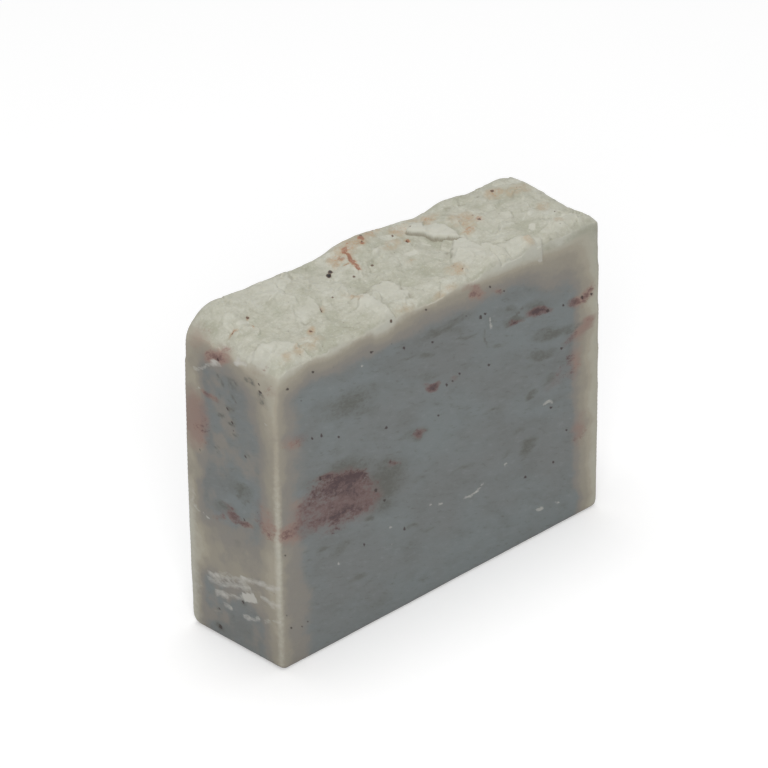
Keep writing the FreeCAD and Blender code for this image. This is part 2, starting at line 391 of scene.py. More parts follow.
seat(FRONT_SPECKS, 0, 2, -facing[:, 1])
seat(LEFT_SPECKS, 1, 2, -facing[:, 0])
seat(TOP_SPECKS, 0, 1, facing[:, 2])
print("specks seated:", len(FRONT_SPECKS) + len(LEFT_SPECKS) + len(TOP_SPECKS))

# %% [markdown]
# ## Drawing tools
# Every lump, crease, streak and speck below is drawn with a few small tools that work
# on all points of the mesh at once. A fade goes smoothly from 0 to 1 between two
# values, and a bell falls off to both sides of a middle. A drift is slow, cloud-like
# noise. An outline has a depth inside its border, and an oval can lie at any turn.

# %% Define the drawing tools
def fade(start, end, value):
    """Goes smoothly from 0 at start to 1 at end."""
    share = np.clip((value - start) / (end - start), 0.0, 1.0)
    return share * share * (3.0 - 2.0 * share)


def bell(distance, reach):
    """1 at no distance, about a third at the reach, and soon 0 beyond it."""
    return np.exp(-((distance / reach) ** 2))


def drift(size, stretch=(1.0, 1.0, 1.0), seed=0.0, octaves=1):
    """Cloud-like noise of about -1 to 1, with clouds of this size in mm."""
    scaled = place / (size * np.array(stretch)) + seed
    if octaves == 1:
        return np.array([noise.noise(point) for point in scaled])
    return np.array([noise.fractal(point, 1.0, 2.0, octaves) for point in scaled])


def stroke_distance(along, across, points):
    """The distance in mm from each point of the mesh to a line of points."""
    nearest = np.full(COUNT, 1e3)
    for (x0, y0), (x1, y1) in zip(points, points[1:]):
        dx, dy = x1 - x0, y1 - y0
        share = ((along - x0) * dx + (across - y0) * dy) / (dx * dx + dy * dy)
        share = np.clip(share, 0.0, 1.0)
        nearest = np.minimum(nearest, np.hypot(along - x0 - share * dx, across - y0 - share * dy))
    return nearest


def outline_depth(along, across, points):
    """The distance in mm inside an outline, and less than 0 outside it."""
    inside = np.zeros(COUNT, bool)
    closed = points + points[:1]
    for (x0, y0), (x1, y1) in zip(closed, closed[1:]):
        if y0 == y1:
            continue
        between = (across >= min(y0, y1)) & (across < max(y0, y1))
        crossing = x0 + (across - y0) * (x1 - x0) / (y1 - y0)
        inside ^= between & (along < crossing)
    distance = stroke_distance(along, across, closed)
    return np.where(inside, distance, -distance)


def oval(along, across, centre, half_length, half_width, turn_deg, gain=1.0, most=1.0):
    """Rises from 0 at the border of a turned oval towards its middle."""
    cos, sin = math.cos(math.radians(turn_deg)), math.sin(math.radians(turn_deg))
    dx, dy = along - centre[0], across - centre[1]
    u = (dx * cos + dy * sin) / half_length
    v = (dy * cos - dx * sin) / half_width
    return np.clip(gain * (1.0 - np.hypot(u, v)), 0.0, most)


def ovals(rows, along, across, gain, swell=(1.0, 1.0)):
    """The strongest oval at each point. Each row: middle, half sizes, turn, strength."""
    strongest = np.zeros(COUNT)
    for *middle, half_length, half_width, turned, strength in rows:
        sizes = half_length * swell[0], half_width * swell[1]
        strongest = np.maximum(strongest, strength * oval(along, across, middle, *sizes, turned, gain))
    return strongest


def strokes(rows, along, across, core_share):
    """The strongest stroke at each point. Each row: half width in mm and a line."""
    strongest = np.zeros(COUNT)
    for half_width, line in rows:
        away_from = stroke_distance(along, across, line)
        strongest = np.maximum(strongest, fade(half_width * 2.0, half_width * core_share, away_from))
    return strongest


on_top = fade(0.30, 0.75, facing[:, 2])
on_front = fade(0.45, 0.80, -facing[:, 1])
on_back = fade(0.45, 0.80, facing[:, 1])
on_left = fade(0.45, 0.80, -facing[:, 0])
on_right = fade(0.45, 0.80, facing[:, 0])
print("points:", COUNT, "on top:", int(on_top.sum()))

# %% [markdown]
# ## The spatula's work on the top
# Soft soap was dragged across the top and folded over itself. It left thin flakes with
# a step along one side, creases between them, one curled petal with a hollow under it,
# and a few that hang over the front edge. Each flake here is an outline that lifts the
# surface by a fraction of a millimetre, with a ragged border.

# %% Raise the flakes
# Each flake: how far it stands up in mm, how wide its step is, the side where the step
# is sharp as a turn in degrees from the bar's length, and its outline.
FLAKES = {
    "front_left": (0.55, 0.40, 60, [
        (-43, -14), (-42, -5.2), (-38.5, -4.0), (-36, -5.4), (-33.2, -8.4), (-33.6, -14),
    ]),
    "tongue": (0.55, 0.45, 0, [
        (-18.6, -14), (-17.3, -9), (-15.6, -3.8), (-12.4, -3.8), (-11.6, -8), (-12.6, -14),
    ]),
    "tongue_side": (0.50, 0.35, 20, [
        (-12.4, -10), (-11.4, -5.4), (-9.4, -2.8), (-6, -2.6), (-4.5, -3.8), (-4.9, -9.2),
        (-8, -10.8),
    ]),
    "slab": (0.60, 0.35, 60, [
        (9, -14), (8.2, -8.8), (8.9, -6.0), (11.9, -3.0), (15.3, -0.3), (17.3, -1.0), (17.0, -4.6),
        (18.8, -8.2), (18.8, -14),
    ]),
    "slab_side": (0.42, 0.35, 40, [
        (15, -14), (15.1, -11.8), (16.8, -5.7), (20, -7.6), (23.6, -8.6), (27.0, -10.6),
        (27.4, -14),
    ]),
    "plateau": (0.40, 0.45, -10, [
        (-42, 2), (-42, 14), (-18, 14), (-17.4, 9.6), (-19.6, 7.6), (-26, 5.2), (-33, 5.6),
        (-37, 4.0),
    ]),
    "drag": (0.22, 0.60, 200, [
        (-17, 14), (-12, 14), (-10.8, 7), (-12.4, 1), (-14.3, -3.8), (-17, -2), (-17.2, 4),
    ]),
    "middle": (0.26, 0.40, 110, [
        (-3.4, -1), (-1.2, 5), (4, 6.2), (8, 4.6), (8.6, 0.4), (5, -3), (0, -4.2),
    ]),
    "right": (0.20, 0.50, 250, [
        (19, -2), (20.5, 9), (30, 11), (37, 8), (38.5, 1), (33, -3.2), (26, -4.4),
    ]),
    "front_right": (0.30, 0.40, 80, [
        (29, -14), (29.6, -9.2), (34, -7.4), (40, -8.4), (43, -14),
    ]),
    "left_middle": (0.24, 0.40, -60, [
        (-31, 0), (-30, 4.4), (-24, 4.8), (-20, 2), (-21, -2.4), (-27, -3.2),
    ]),
    "left_back": (0.22, 0.35, 150, [
        (-40, 1), (-39, 6), (-34, 7.4), (-31, 4.4), (-33, 0.6),
    ]),
    "leaf_side": (0.22, 0.35, 300, [
        (-12, 2), (-10, 8), (-5.6, 9), (-4.6, 4), (-7.4, 0.6),
    ]),
}
RAGGED_MM = 0.55
TREND_MM = 0.45

ragged = drift(1.7, seed=11.0) * RAGGED_MM + drift(0.7, seed=17.0) * 0.22
along = X + ragged
across = Y + drift(1.9, seed=23.0) * RAGGED_MM
relief = np.zeros(COUNT)
paleness = np.zeros(COUNT)
for lift, step, sharp_deg, outline in FLAKES.values():
    sharp = np.array([math.cos(math.radians(sharp_deg)), math.sin(math.radians(sharp_deg))])
    reach = np.array(outline) @ sharp
    share = (along * sharp[0] + across * sharp[1] - reach.min()) / (reach.max() - reach.min())
    depth = outline_depth(along, across, outline)
    body = fade(-step / 2, step / 2, depth) * fade(0.0, 0.75, share)
    relief += lift * body
    paleness = np.maximum(paleness, body * min(1.0, 0.17 + lift))
print("flakes:", len(FLAKES))

# %% [markdown]
# ## Small plates
# Between the large flakes the skin broke into plates a few millimetres wide, each
# pressed down at its own tilt. Plain noise would give round lumps. Here the top is
# shared out to scattered centres, and each centre gives its cell a height and a slope
# of its own, so that two neighbours meet in a small step.

# %% Scatter the small plates
LARGE_PLATE_MM = 0.48
SMALL_PLATE_MM = 0.12
wavy_along = along + 1.2 * drift(3.4, seed=19.0, octaves=2)
wavy_across = across + 1.0 * drift(3.0, seed=21.0, octaves=2)


def plates(size, seed):
    """Small plates that each tilt their own way, with a step where two meet."""
    height = np.zeros(COUNT)
    for index in np.flatnonzero(on_top > 0.0):
        here = Vector((wavy_along[index] / size, wavy_across[index] / size, seed))
        centre = noise.voronoi(here)[1][0]
        tilt_turn = 40.0 * noise.noise(centre * 3.1)
        rest = 0.6 * noise.noise(centre * 5.3 + Vector((9.0, 0.0, 0.0)))
        lean = (here.x - centre.x) * math.cos(tilt_turn) + (here.y - centre.y) * math.sin(tilt_turn)
        height[index] = lean + rest
    return height


large_plates = plates(4.6, 1.5)
small_plates = plates(1.9, 6.5)
relief += LARGE_PLATE_MM * large_plates + SMALL_PLATE_MM * small_plates
paleness += 0.32 * np.clip(large_plates, 0.0, 1.0) + 0.20 * np.clip(small_plates, 0.0, 1.0)
plate_heights = LARGE_PLATE_MM * large_plates
print("plates, mm:", round(float(plate_heights.min()), 2), round(float(plate_heights.max()), 2))

# %% [markdown]
# ## Creases
# Where two flakes met, the soap didn't quite join. A crease could be cut into the mesh
# as a row of edges, but then it would be as deep all along. Here each one is a soft
# groove beside a line, and slow noise breaks it off here and there. Each groove is
# also painted darker in colour, as painted shade.

# %% Press in the creases
# Each crease: its depth in mm, its half width in mm, and its line.
CREASES = [
    (0.32, 0.40, [(-39, -4.2), (-36, -5.6), (-33, -8.8)]),
    (0.30, 0.45, [(-17.6, 12.5), (-17.5, 9.8), (-19.3, 7.9)]),
    (0.38, 0.45, [(-4.2, -3.0), (-4.6, -6), (-5.0, -9.6)]),
    (0.40, 0.50, [(10.6, -4.4), (13.8, -1.6), (16.4, 0.0)]),
    (0.35, 0.50, [(19.4, -7.7), (22.4, -8.4), (24.6, -8.0)]),
    (0.25, 0.35, [(-38.8, 4.6), (-36.6, 5.0), (-34.2, 5.6)]),
    (0.30, 0.40, [(-13.2, -3.5), (-10.4, -3.1), (-8.4, -2.0)]),
    (0.22, 0.40, [(-22.2, -9.4), (-18.6, -9.8)]),
    (0.30, 0.45, [(8.2, 5.0), (10.4, 6.2)]),
    (0.20, 0.40, [(33, -5.0), (35.4, -6.4), (37.6, -6.0)]),
    (0.18, 0.35, [(-30.5, -0.5), (-26.5, -3.6), (-21.0, -2.8)]),
    (0.20, 0.35, [(22, 9.0), (27.5, 7.8), (32.0, 8.6)]),
    (0.18, 0.35, [(-8, 1.5), (-5.2, 4.2), (-1.0, 5.6)]),
    (0.45, 0.60, [(14.4, -0.6), (12.6, -1.6), (11.0, -3.0)]),
    (0.35, 0.45, [(19.7, -6.9), (22.9, -7.4), (25.0, -9.0)]),
]
# Painted shade: the grooves are also kept as a shade layer that darkens the colour.
shade = np.zeros(COUNT)
broken = fade(-0.35, 0.35, drift(1.5, seed=29.0))
for depth_mm, half_width, line in CREASES:
    groove = bell(stroke_distance(along, across, line), half_width) * broken
    relief -= depth_mm * groove
    shade = np.maximum(shade, groove)
print("creases:", len(CREASES))

# %% [markdown]
# ## The petal
# One thin curl of soap lies on the top like a petal, with a raised lip and a shadow
# under it. It could be a sheet of its own. At this size an outline that lifts the
# surface is enough, most of all at the lip, and the bar stays one closed mesh. Just
# outside the lip the surface dips, and a painted shadow darkens the colour there too.

# %% Curl the petal
PETAL = [
    (10.3, 7.4), (13.5, 8.4), (16.3, 7.3), (17.8, 4.5), (17.5, 1.0), (16.6, -0.8),
    (15.4, 0.5), (14.0, 2.7), (12.8, 4.6), (11.4, 6.3),
]
PETAL_LIP = [(10.4, 7.2), (11.4, 6.3), (12.8, 4.6), (14.0, 2.7), (15.4, 0.5), (16.6, -0.8)]
PETAL_THICKNESS_MM = 0.25
PETAL_LIFT_MM = 0.66
LIP_REACH_MM = 2.2
POCKET_MM = 0.30
POCKET_REACH_MM = 0.9
SHADOW_REACH_MM = 0.55
petal_body = fade(-0.15, 0.20, outline_depth(X + 0.3 * ragged, Y, PETAL))
lip_distance = stroke_distance(X + 0.3 * ragged, Y, PETAL_LIP)
lip = bell(lip_distance, LIP_REACH_MM)
relief += petal_body * (PETAL_THICKNESS_MM + (PETAL_LIFT_MM - PETAL_THICKNESS_MM) * lip)
pocket = (1.0 - petal_body) * bell(lip_distance, POCKET_REACH_MM)
relief -= POCKET_MM * pocket
paleness = np.maximum(paleness, petal_body)
# Painted shadow: a dark band just outside the lip, laid into the shade layer.
shadow = (1.0 - petal_body) * bell(lip_distance, SHADOW_REACH_MM)
shade = np.maximum(shade, 1.7 * shadow)
print("petal points:", int((petal_body > 0.5).sum()))

# %% [markdown]
# ## Lumps, drag marks and crumbs
# Between the flakes the skin is never smooth. Slow noise gives the lumps under the
# spatula, noise that is stretched along its path gives the drag marks, and small
# round bumps and pits are crumbs and burst bubbles. They are drawn in a fixed order
# from a fixed seed, so each run gives the same bar.

# %% Roughen the top
relief += 0.20 * drift(6.5, seed=3.0, octaves=2)
relief += 0.24 * drift(2.3, stretch=(1.7, 0.8, 1.0), seed=5.0, octaves=2)
chalk = drift(0.8, seed=7.0) + 0.5 * drift(0.45, seed=8.0)
relief += 0.050 * chalk


def mound(mid_x, mid_y, reach):
    """A round bump on the top, 1 at its middle."""
    return np.exp(-(((X - mid_x) ** 2 + (Y - mid_y) ** 2) / reach**2))


dice = np.random.default_rng(20)
CRUMBS = 90
for _ in range(CRUMBS):
    crumb_x = dice.uniform(-41, 41)
    crumb_y = dice.uniform(-11.5, 11.5)
    crumb_size = dice.uniform(0.25, 0.75)
    crumb_lift = dice.choice([0.16, 0.22, -0.20, -0.28])
    relief += crumb_lift * mound(crumb_x, crumb_y, crumb_size)
to_rim = np.minimum(THICKNESS_MM / 2 - Y, HALF_LENGTH_MM - np.abs(X))
relief *= 0.35 + 0.65 * fade(0.3, 3.2, to_rim)
# Each slow lump: its middle in x and y, its height in mm, and its reach.
SLOW_LUMPS = [
    (33.0, 11.5, -0.50, 6.0), (42.0, 7.6, 0.35, 2.6), (12.0, 11.5, 0.20, 5.0),
    (-25.0, 11.5, -0.35, 8.0), (-37.0, 11.5, 0.30, 2.4), (42.5, -8.0, -0.48, 5.0),
    (42.4, 12.0, -0.70, 2.4),
]
for lump_x, lump_y, lump_height, reach in SLOW_LUMPS:
    relief += lump_height * mound(lump_x, lump_y, reach)
top_relief = relief[on_top > 0.9]
print("relief on top, mm:", round(float(top_relief.min()), 2), round(float(top_relief.max()), 2))

# %% [markdown]
# ## Marks on the cut faces and the ends
# The wire left the two cut faces flat, with a slight wave and a faint drag. The ends
# rubbed along the mould when the loaf came out: the left end has long pale gouges with
# a loose burr beside each, most of them low down. Such marks could be carved with a
# sculpting brush, but numbers in a list are easier to move and give the same bar again.

# %% Mark the walls
# Each gouge on the left end: depth in mm, half width in mm, and its line in y and z.
GOUGES = [
    (0.16, 0.50, [(6.6, 13.8), (5.2, 13.4), (4.0, 14.0), (1.4, 14.8), (-1.1, 15.3)]),
    (0.18, 0.60, [(-1.1, 15.3), (-3.0, 16.1), (-5.8, 17.1), (-8.9, 17.5), (-12.2, 18.4)]),
    (0.12, 0.55, [(6.8, 12.4), (3.6, 12.6), (-0.6, 13.8), (-4.0, 15.0)]),
    (0.14, 0.45, [(-2.4, 8.0), (-4.0, 8.3), (-6.4, 9.0)]),
    (0.12, 0.40, [(-8.2, 9.6), (-9.6, 9.9)]),
    (0.12, 0.40, [(-10.6, 10.3), (-12.2, 10.8)]),
    (0.15, 0.70, [(4.8, 10.0), (3.4, 10.6), (2.0, 10.4)]),
    (0.10, 0.35, [(2.0, 10.6), (-0.4, 11.4), (-2.2, 11.8)]),
    (0.10, 0.45, [(-7.6, 14.6), (-10.0, 14.2), (-12.2, 14.8)]),
    (0.10, 0.45, [(2.6, 8.4), (1.2, 8.2)]),
    (0.14, 0.50, [(2.6, 60.3), (4.8, 59.8)]),
    (0.12, 0.40, [(5.6, 59.2), (7.2, 57.8), (9.4, 56.9)]),
    (0.12, 0.50, [(-4.0, 62.8), (-1.8, 63.0)]),
]
BURR_MM = 0.07
wall = np.zeros(COUNT)
scuff = np.zeros(COUNT)
left_y = Y + drift(1.6, seed=31.0) * 0.5
left_z = Z + drift(1.5, seed=37.0) * 0.45
for depth_mm, half_width, line in GOUGES:
    away_from = stroke_distance(left_y, left_z, line)
    wall -= on_left * depth_mm * bell(away_from, half_width)
    wall += on_left * BURR_MM * bell(away_from - half_width * 1.3, 0.35)
    scuff = np.maximum(scuff, on_left * fade(half_width * 2.1, half_width * 0.4, away_from))
wave = 0.07 * drift(19.0, seed=41.0) + 0.03 * drift(5.0, stretch=(1.6, 1.0, 0.7), seed=43.0)
wave += 0.018 * drift(1.3, stretch=(1.0, 1.0, 2.5), seed=47.0)
wall += wave
# Fine rub lines run beside the gouges and rise towards the front.
rub_height = Z + 0.27 * Y
rub = np.array([noise.noise(Vector((0.14 * y, 1.15 * h, 5.0))) for y, h in zip(Y, rub_height)])
rub = fade(0.05, 0.42, rub) * fade(19.0, 16.0, rub_height) * fade(5.0, 8.5, rub_height) * on_left
wall -= 0.05 * rub
scuff = np.maximum(scuff * 0.9, 0.62 * rub)
# The flap of soap at the right of the front rim ends in a short upright fold.
FOLD_X_MM = 27.3
FOLD_HALF_WIDTH_MM = 0.35
FOLD_DEPTH_MM = 0.32
fold = bell(X - FOLD_X_MM, FOLD_HALF_WIDTH_MM) * fade(60.2, 61.4, Z) * on_front
wall -= FOLD_DEPTH_MM * fold
print("gouges:", len(GOUGES))

# %% [markdown]
# ## The finished surface
# So far each mark is only a number at each point of the mesh. Now the top's relief
# moves its points up and down, and the marks on the walls move theirs in and out. One
# corner at the back of the base is worn. The rest of the base stays flat, and the
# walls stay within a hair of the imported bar's box.

# %% Move the points
WORN_REACH_MM = 2.4
WORN_DEPTH_MM = 0.28
SPARE_MM = 0.05
side_share = 1.0 - on_top
lift_share = fade(-0.2, 0.55, facing[:, 2])
moved = place.copy()
moved[:, 2] += relief * lift_share - TREND_MM * lift_share * 0.35
moved += facing * (wall * side_share)[:, None]
worn = np.hypot(X + HALF_LENGTH_MM, np.hypot(Y - THICKNESS_MM / 2, Z))
moved += (np.array([0.9, -0.8, 1.0]) * WORN_DEPTH_MM) * fade(WORN_REACH_MM, 0.2, worn)[:, None]
moved[:, 2] = np.maximum(moved[:, 2], 0.0)
moved[(place[:, 2] < 0.02) & (worn > WORN_REACH_MM), 2] = 0.0
np.clip(moved[:, 0], bar_low.x - SPARE_MM, bar_high.x + SPARE_MM, out=moved[:, 0])
np.clip(moved[:, 1], bar_low.y - SPARE_MM, bar_high.y + SPARE_MM, out=moved[:, 1])
soap_mesh.vertices.foreach_set("co", (moved * MM).ravel())
soap_mesh.update()
for polygon in soap_mesh.polygons:
    polygon.use_smooth = True
soap_mesh.calc_loop_triangles()
print("triangles:", len(soap_mesh.loop_triangles))

# %% [markdown]
# ## Where the colours lie
# The inside of the loaf is blue grey. Where the soap met the air or the mould it dried
# to a pale, olive-cream skin a few millimetres deep, so on the cut faces the colour
# fades from cream at the rims to grey. Each colour gets its own layer of values on the
# points of the mesh, and the material later gives each layer its grain.

# %% Measure the depth under the skin
FRONT_HEIGHT_MM = 64.5
RISE_LEFT_MM = 3.4
RISE_RIGHT_MM = 0.3
share_across = np.clip(Y / THICKNESS_MM + 0.5, 0.0, 1.0)
share_along = np.clip(X / (2 * HALF_LENGTH_MM) + 0.5, 0.0, 1.0)
rise = RISE_LEFT_MM + (RISE_RIGHT_MM - RISE_LEFT_MM) * share_along
top_line = FRONT_HEIGHT_MM + rise * share_across**1.5
slow = drift(7.0, stretch=(1.4, 1.0, 1.0), seed=53.0, octaves=2)
quick_drift = drift(2.4, stretch=(1.4, 1.0, 0.8), seed=59.0)
under_top = top_line - Z + slow * 0.8 + quick_drift * 0.25
# Two flaps of soap were pressed over the front rim, and there the skin hangs further
# down the front: each pair is an x and how far, in mm. It never reaches far below.
RIM_HANG = [
    (-24.0, 0.0), (-21.0, -0.5), (-18.2, -0.3), (-17.4, 0.7), (-14.4, 1.1), (-12.6, 0.7),
    (-11.9, 0.0), (6.0, 0.0), (12.0, 0.2), (17.0, 0.5), (21.0, 0.9), (24.0, 1.5), (26.8, 2.1),
    (27.2, 0.0),
]
hang = np.interp(X, *zip(*RIM_HANG)) * on_front
under_hang = under_top - hang * fade(6.5, 3.0, under_top)
under_left = X + HALF_LENGTH_MM + slow * 1.8 + quick_drift * 0.9
under_right = HALF_LENGTH_MM - X - 1.0 + slow * 1.2 + quick_drift * 0.7
print("skin hangs down by up to, mm:", round(float(hang.max()), 1))

# %% [markdown]
# ## The pale skin
# A skin of one even depth would look painted on. On the cut faces it fades from the
# top rim down over a few millimetres, deeper at the right, and thinly from the ends
# inwards. On the ends it is a thin, patchy sheet that the mould left, with a pale band
# low down. The upright edges are paler, partly from skin and partly as a painted
# highlight, and the whole top is pale. The parts are joined by how far each point
# faces the front, the ends or the top.

# %% Lay the skin on the cut faces
on_cut = np.maximum(on_front, on_back)
on_end = np.maximum(on_left, on_right)
FADE_DEPTHS_MM = [0.0, 0.5, 1.3, 2.8, 4.6, 7.5]
FADE_SKIN = [1.00, 0.90, 0.70, 0.45, 0.26, 0.0]
deeper = 1.0 + 0.15 * fade(-15.0, 10.0, X) + 0.90 * fade(21.0, 31.0, X)
skin_top = np.interp(under_hang / deeper, FADE_DEPTHS_MM, FADE_SKIN)
skin_top = skin_top + 0.20 * fade(4.2, 1.8, under_top) * fade(8.0, 26.0, X)
deeper_low = under_left - 2.0 * fade(28.0, 8.0, Z)
skin_left = 0.28 * fade(9.5, 2.5, deeper_low) + 0.16 * fade(3.4, 0.6, under_left)
skin_right = 0.50 * fade(9.0, 2.6, under_right) + 0.36 * fade(3.6, 0.2, under_right)
skin_cut = 1.0 - (1.0 - np.clip(skin_top, 0, 1)) * (1.0 - skin_left) * (1.0 - skin_right)
print("skin by depth on the front, mean:", round(float(skin_cut[on_front > 0.9].mean()), 3))

# %% Lay the skin on the ends
end_slow = drift(8.0, stretch=(1.0, 1.0, 1.2), seed=61.0, octaves=2)
end_quick = drift(2.8, stretch=(1.0, 1.0, 1.3), seed=62.0, octaves=2)
end_depth = end_slow + 0.7 * end_quick
skin_end = 0.75 * fade(3.6, 1.2, under_top) + 0.34 * fade(9.5, 2.0, under_top + 1.5 * end_quick)
skin_end += 0.24 * bell(Z - 19.0 + 2.0 * end_depth, 7.5)
skin_end += 0.50 * fade(6.0, 11.5, Y + 1.2 * end_depth) + 0.34 * fade(-6.8, -11.6, Y + 0.9 * end_depth)
skin_end += 0.26 * fade(45.0, 56.0, Z) * fade(-3.2, -9.0, Y + 0.9 * end_depth)
skin_end += 0.07 + 0.14 * fade(-0.4, 0.6, end_depth)
skin_end = np.minimum(skin_end, 0.72 + 0.28 * fade(1.4, 0.3, under_top))
skin_end -= 0.14 * np.exp(-(((Y + 2.0) / 4.5) ** 2) - ((Z - 32.5) / 5.5) ** 2)
print("skin on the left end, mean:", round(float(skin_end[on_left > 0.9].mean()), 3))

# %% Pale the upright edges, partly with a painted highlight, and join the skins
def edge_distance(end, face):
    """The distance in mm to an upright edge, at end -1 or 1 in x and face -1 or 1 in y."""
    to_end = HALF_LENGTH_MM - end * X
    to_face = THICKNESS_MM / 2 - face * Y
    return np.hypot(np.maximum(to_end, 0), np.maximum(to_face, 0))


edge_left = edge_distance(-1, -1)
# Near the two front upright edges the skin rises: partly skin wrapped round the edge, partly a painted
# highlight. It is weaker towards the top.
edge_skin_and_highlight = np.maximum(bell(edge_left, 1.7), bell(edge_distance(1, -1), 2.2))
edge_skin_and_highlight *= fade(68.0, 58.0, Z) * 0.9 + 0.1
total = on_cut + on_end + 1e-6
skin = (on_cut * skin_cut + on_end * skin_end) / total
skin = np.where(total > 0.05, skin, np.maximum(skin_cut, skin_end))
skin = np.maximum(skin, 0.62 * edge_skin_and_highlight)
skin = skin * side_share + on_top
on_base = fade(0.4, 0.9, -facing[:, 2])
skin = skin * (1 - on_base) + 0.30 * on_base
skin = np.clip(skin, 0.0, 1.0)
print("skin, mean on front:", round(float(skin[on_front > 0.9].mean()), 3))

# %% [markdown]
# ## Clay, smudges and specks
# Streaks of reddish clay were swirled into the loaf. The wire cut through them, so
# they show as ragged patches that all lean the same way. Dark smudges lie along the
# same flow. Ground herb and seed husk give the black and red specks, and on the top
# they bled a little orange oil into the pale skin.

# %% List the clay streaks
# Each streak on the front: its middle in x and z, half length, half width, turn, strength.
FRONT_CLAY = [
    (-39.0, 29.0, 5.0, 2.8, -14, 0.85), (-38.8, 34.6, 2.8, 1.8, -40, 0.45),
    (-30.6, 37.2, 3.6, 1.1, -14, 0.80), (-2.9, 45.1, 2.4, 0.9, -12, 1.45),
    (-4.4, 46.7, 1.6, 0.6, -25, 0.45), (3.0, 44.5, 1.8, 0.8, 10, 0.45),
    (-6.5, 36.6, 1.7, 1.2, -15, 0.90), (25.5, 50.0, 4.3, 1.05, -12, 1.25),
    (36.4, 47.9, 3.2, 1.5, -18, 0.98), (39.2, 48.8, 2.6, 1.6, 6, 0.80),
    (39.4, 42.4, 3.0, 1.6, 10, 0.58), (34.6, 40.4, 3.4, 1.2, 18, 0.52),
    (35.4, 34.8, 2.4, 4.0, -12, 0.42), (30.4, 33.0, 4.6, 2.0, 34, 0.30),
    (37.2, 19.6, 2.2, 4.4, 6, 0.28), (-13.2, 32.7, 1.9, 0.7, -10, 0.55),
    (-38.6, 48.4, 3.6, 2.0, -20, 0.50), (8.8, 60.9, 3.8, 1.8, -42, 0.78),
    (14.6, 58.4, 2.2, 0.8, -30, 0.42), (19.6, 50.2, 3.2, 0.5, -14, 0.55),
]
# The same for the left end, in y and z.
LEFT_CLAY = [
    (8.2, 46.0, 4.2, 7.0, 4, 0.24), (4.9, 52.9, 2.6, 0.9, 0, 1.20),
    (-0.6, 29.3, 2.4, 1.4, -12, 0.86), (-3.8, 29.0, 2.0, 0.7, 0, 1.00),
    (3.0, 27.6, 2.4, 0.9, -30, 0.70), (0.8, 30.8, 2.4, 0.8, 0, 0.60),
    (-10.0, 31.4, 3.4, 3.8, 0, 0.62), (2.4, 62.4, 4.2, 2.4, -24, 0.62),
    (2.8, 61.5, 3.4, 1.6, -20, 1.35), (9.0, 63.4, 4.0, 2.6, 0, 0.34),
    (-6.5, 62.4, 4.4, 1.8, -20, 0.20), (-10.4, 60.2, 2.4, 2.6, 0, 0.22),
    (-8.4, 35.0, 2.0, 2.0, 0, 0.32),
]
# The back and the right end aren't in the photograph. They get the same kinds of streak.
BACK_CLAY = [
    (-14.0, 41.0, 9.0, 3.4, 12, 1.15), (-6.0, 37.6, 6.0, 2.2, 16, 1.00),
    (24.0, 22.0, 5.0, 1.6, 20, 1.00), (31.0, 47.0, 3.0, 1.1, 14, 1.10),
    (-33.0, 20.0, 3.4, 1.3, 18, 0.80), (6.0, 55.0, 2.6, 0.9, 12, 0.90),
    (-39.0, 50.0, 3.0, 3.0, 0, 0.50),
]
RIGHT_CLAY = [
    (-9.5, 48.2, 3.6, 1.8, 6, 0.85), (-9.0, 41.6, 4.6, 1.7, -8, 0.70),
    (3.5, 30.0, 3.4, 1.4, 14, 1.00), (6.0, 55.0, 2.6, 1.2, 10, 0.60),
    (-3.0, 16.0, 3.0, 1.2, 12, 0.50),
]
print("clay streaks:", len(FRONT_CLAY) + len(LEFT_CLAY) + len(BACK_CLAY) + len(RIGHT_CLAY))

# %% Bend the streaks
bend = drift(3.4, stretch=(1.6, 1.6, 0.8), seed=67.0, octaves=2)
bend_up = drift(3.0, stretch=(1.8, 1.8, 0.7), seed=69.0, octaves=2)
small_bend = drift(1.1, stretch=(1.8, 1.8, 0.7), seed=71.0)
small_bend_up = drift(1.0, stretch=(1.8, 1.8, 0.7), seed=73.0)
up_bent = Z + 0.9 * bend_up + 0.40 * small_bend_up


def streak_layer(streaks, along, weight):
    """The strongest streak at each point, on one face of the bar."""
    along_bent = along + 1.4 * bend + 0.6 * small_bend
    return ovals(streaks, along_bent, up_bent, 1.25, swell=(1.15, 1.2)) * weight


print("streaks bent by up to, mm:", round(float(np.abs(1.4 * bend + 0.6 * small_bend).max()), 1))

# %% Lay the clay
# The large patch on the front is an outline in x and z, with a thin left end. Its
# middle is thinner, and its upper border is the darkest.
LARGE_PATCH = [
    (-42.0, 29.4), (-41.2, 31.8), (-38.1, 35.8), (-33.0, 36.4), (-29.1, 37.2), (-22.3, 35.8),
    (-19.6, 33.2), (-17.0, 29.6), (-16.8, 26.0), (-20.3, 25.0), (-24.2, 25.2), (-31.5, 25.8),
    (-36.6, 27.0), (-42.0, 28.0),
]
patch_depth = outline_depth(X + 1.1 * bend + 0.6 * small_bend, up_bent, LARGE_PATCH)
patch_tone = 0.66 + 0.34 * fade(-39.0, -28.0, X) + 0.20 * fade(29.5, 34.0, Z) + 0.20 * bend_up
patch_tone += 0.55 * oval(X, Z, (-24.6, 35.0), 4.4, 1.9, -6)
patch_hole = 0.45 * oval(X, Z, (-32.6, 33.6), 3.0, 2.0, 20)
patch_hole += 0.52 * oval(X, Z, (-28.8, 33.0), 4.4, 2.2, 10)
patch_body = (np.clip(0.28 + patch_depth / 5.0, 0.0, 0.85) - patch_hole).clip(0.0)
large_patch = patch_body * patch_tone * on_front
clay = np.maximum.reduce([
    large_patch,
    streak_layer(FRONT_CLAY, X, on_front),
    streak_layer(LEFT_CLAY, Y, on_left),
    streak_layer(BACK_CLAY, X, on_back),
    streak_layer(RIGHT_CLAY, Y, on_right),
])
print("clay share of front:", round(float((clay[on_front > 0.9] > 0.5).mean()), 3))

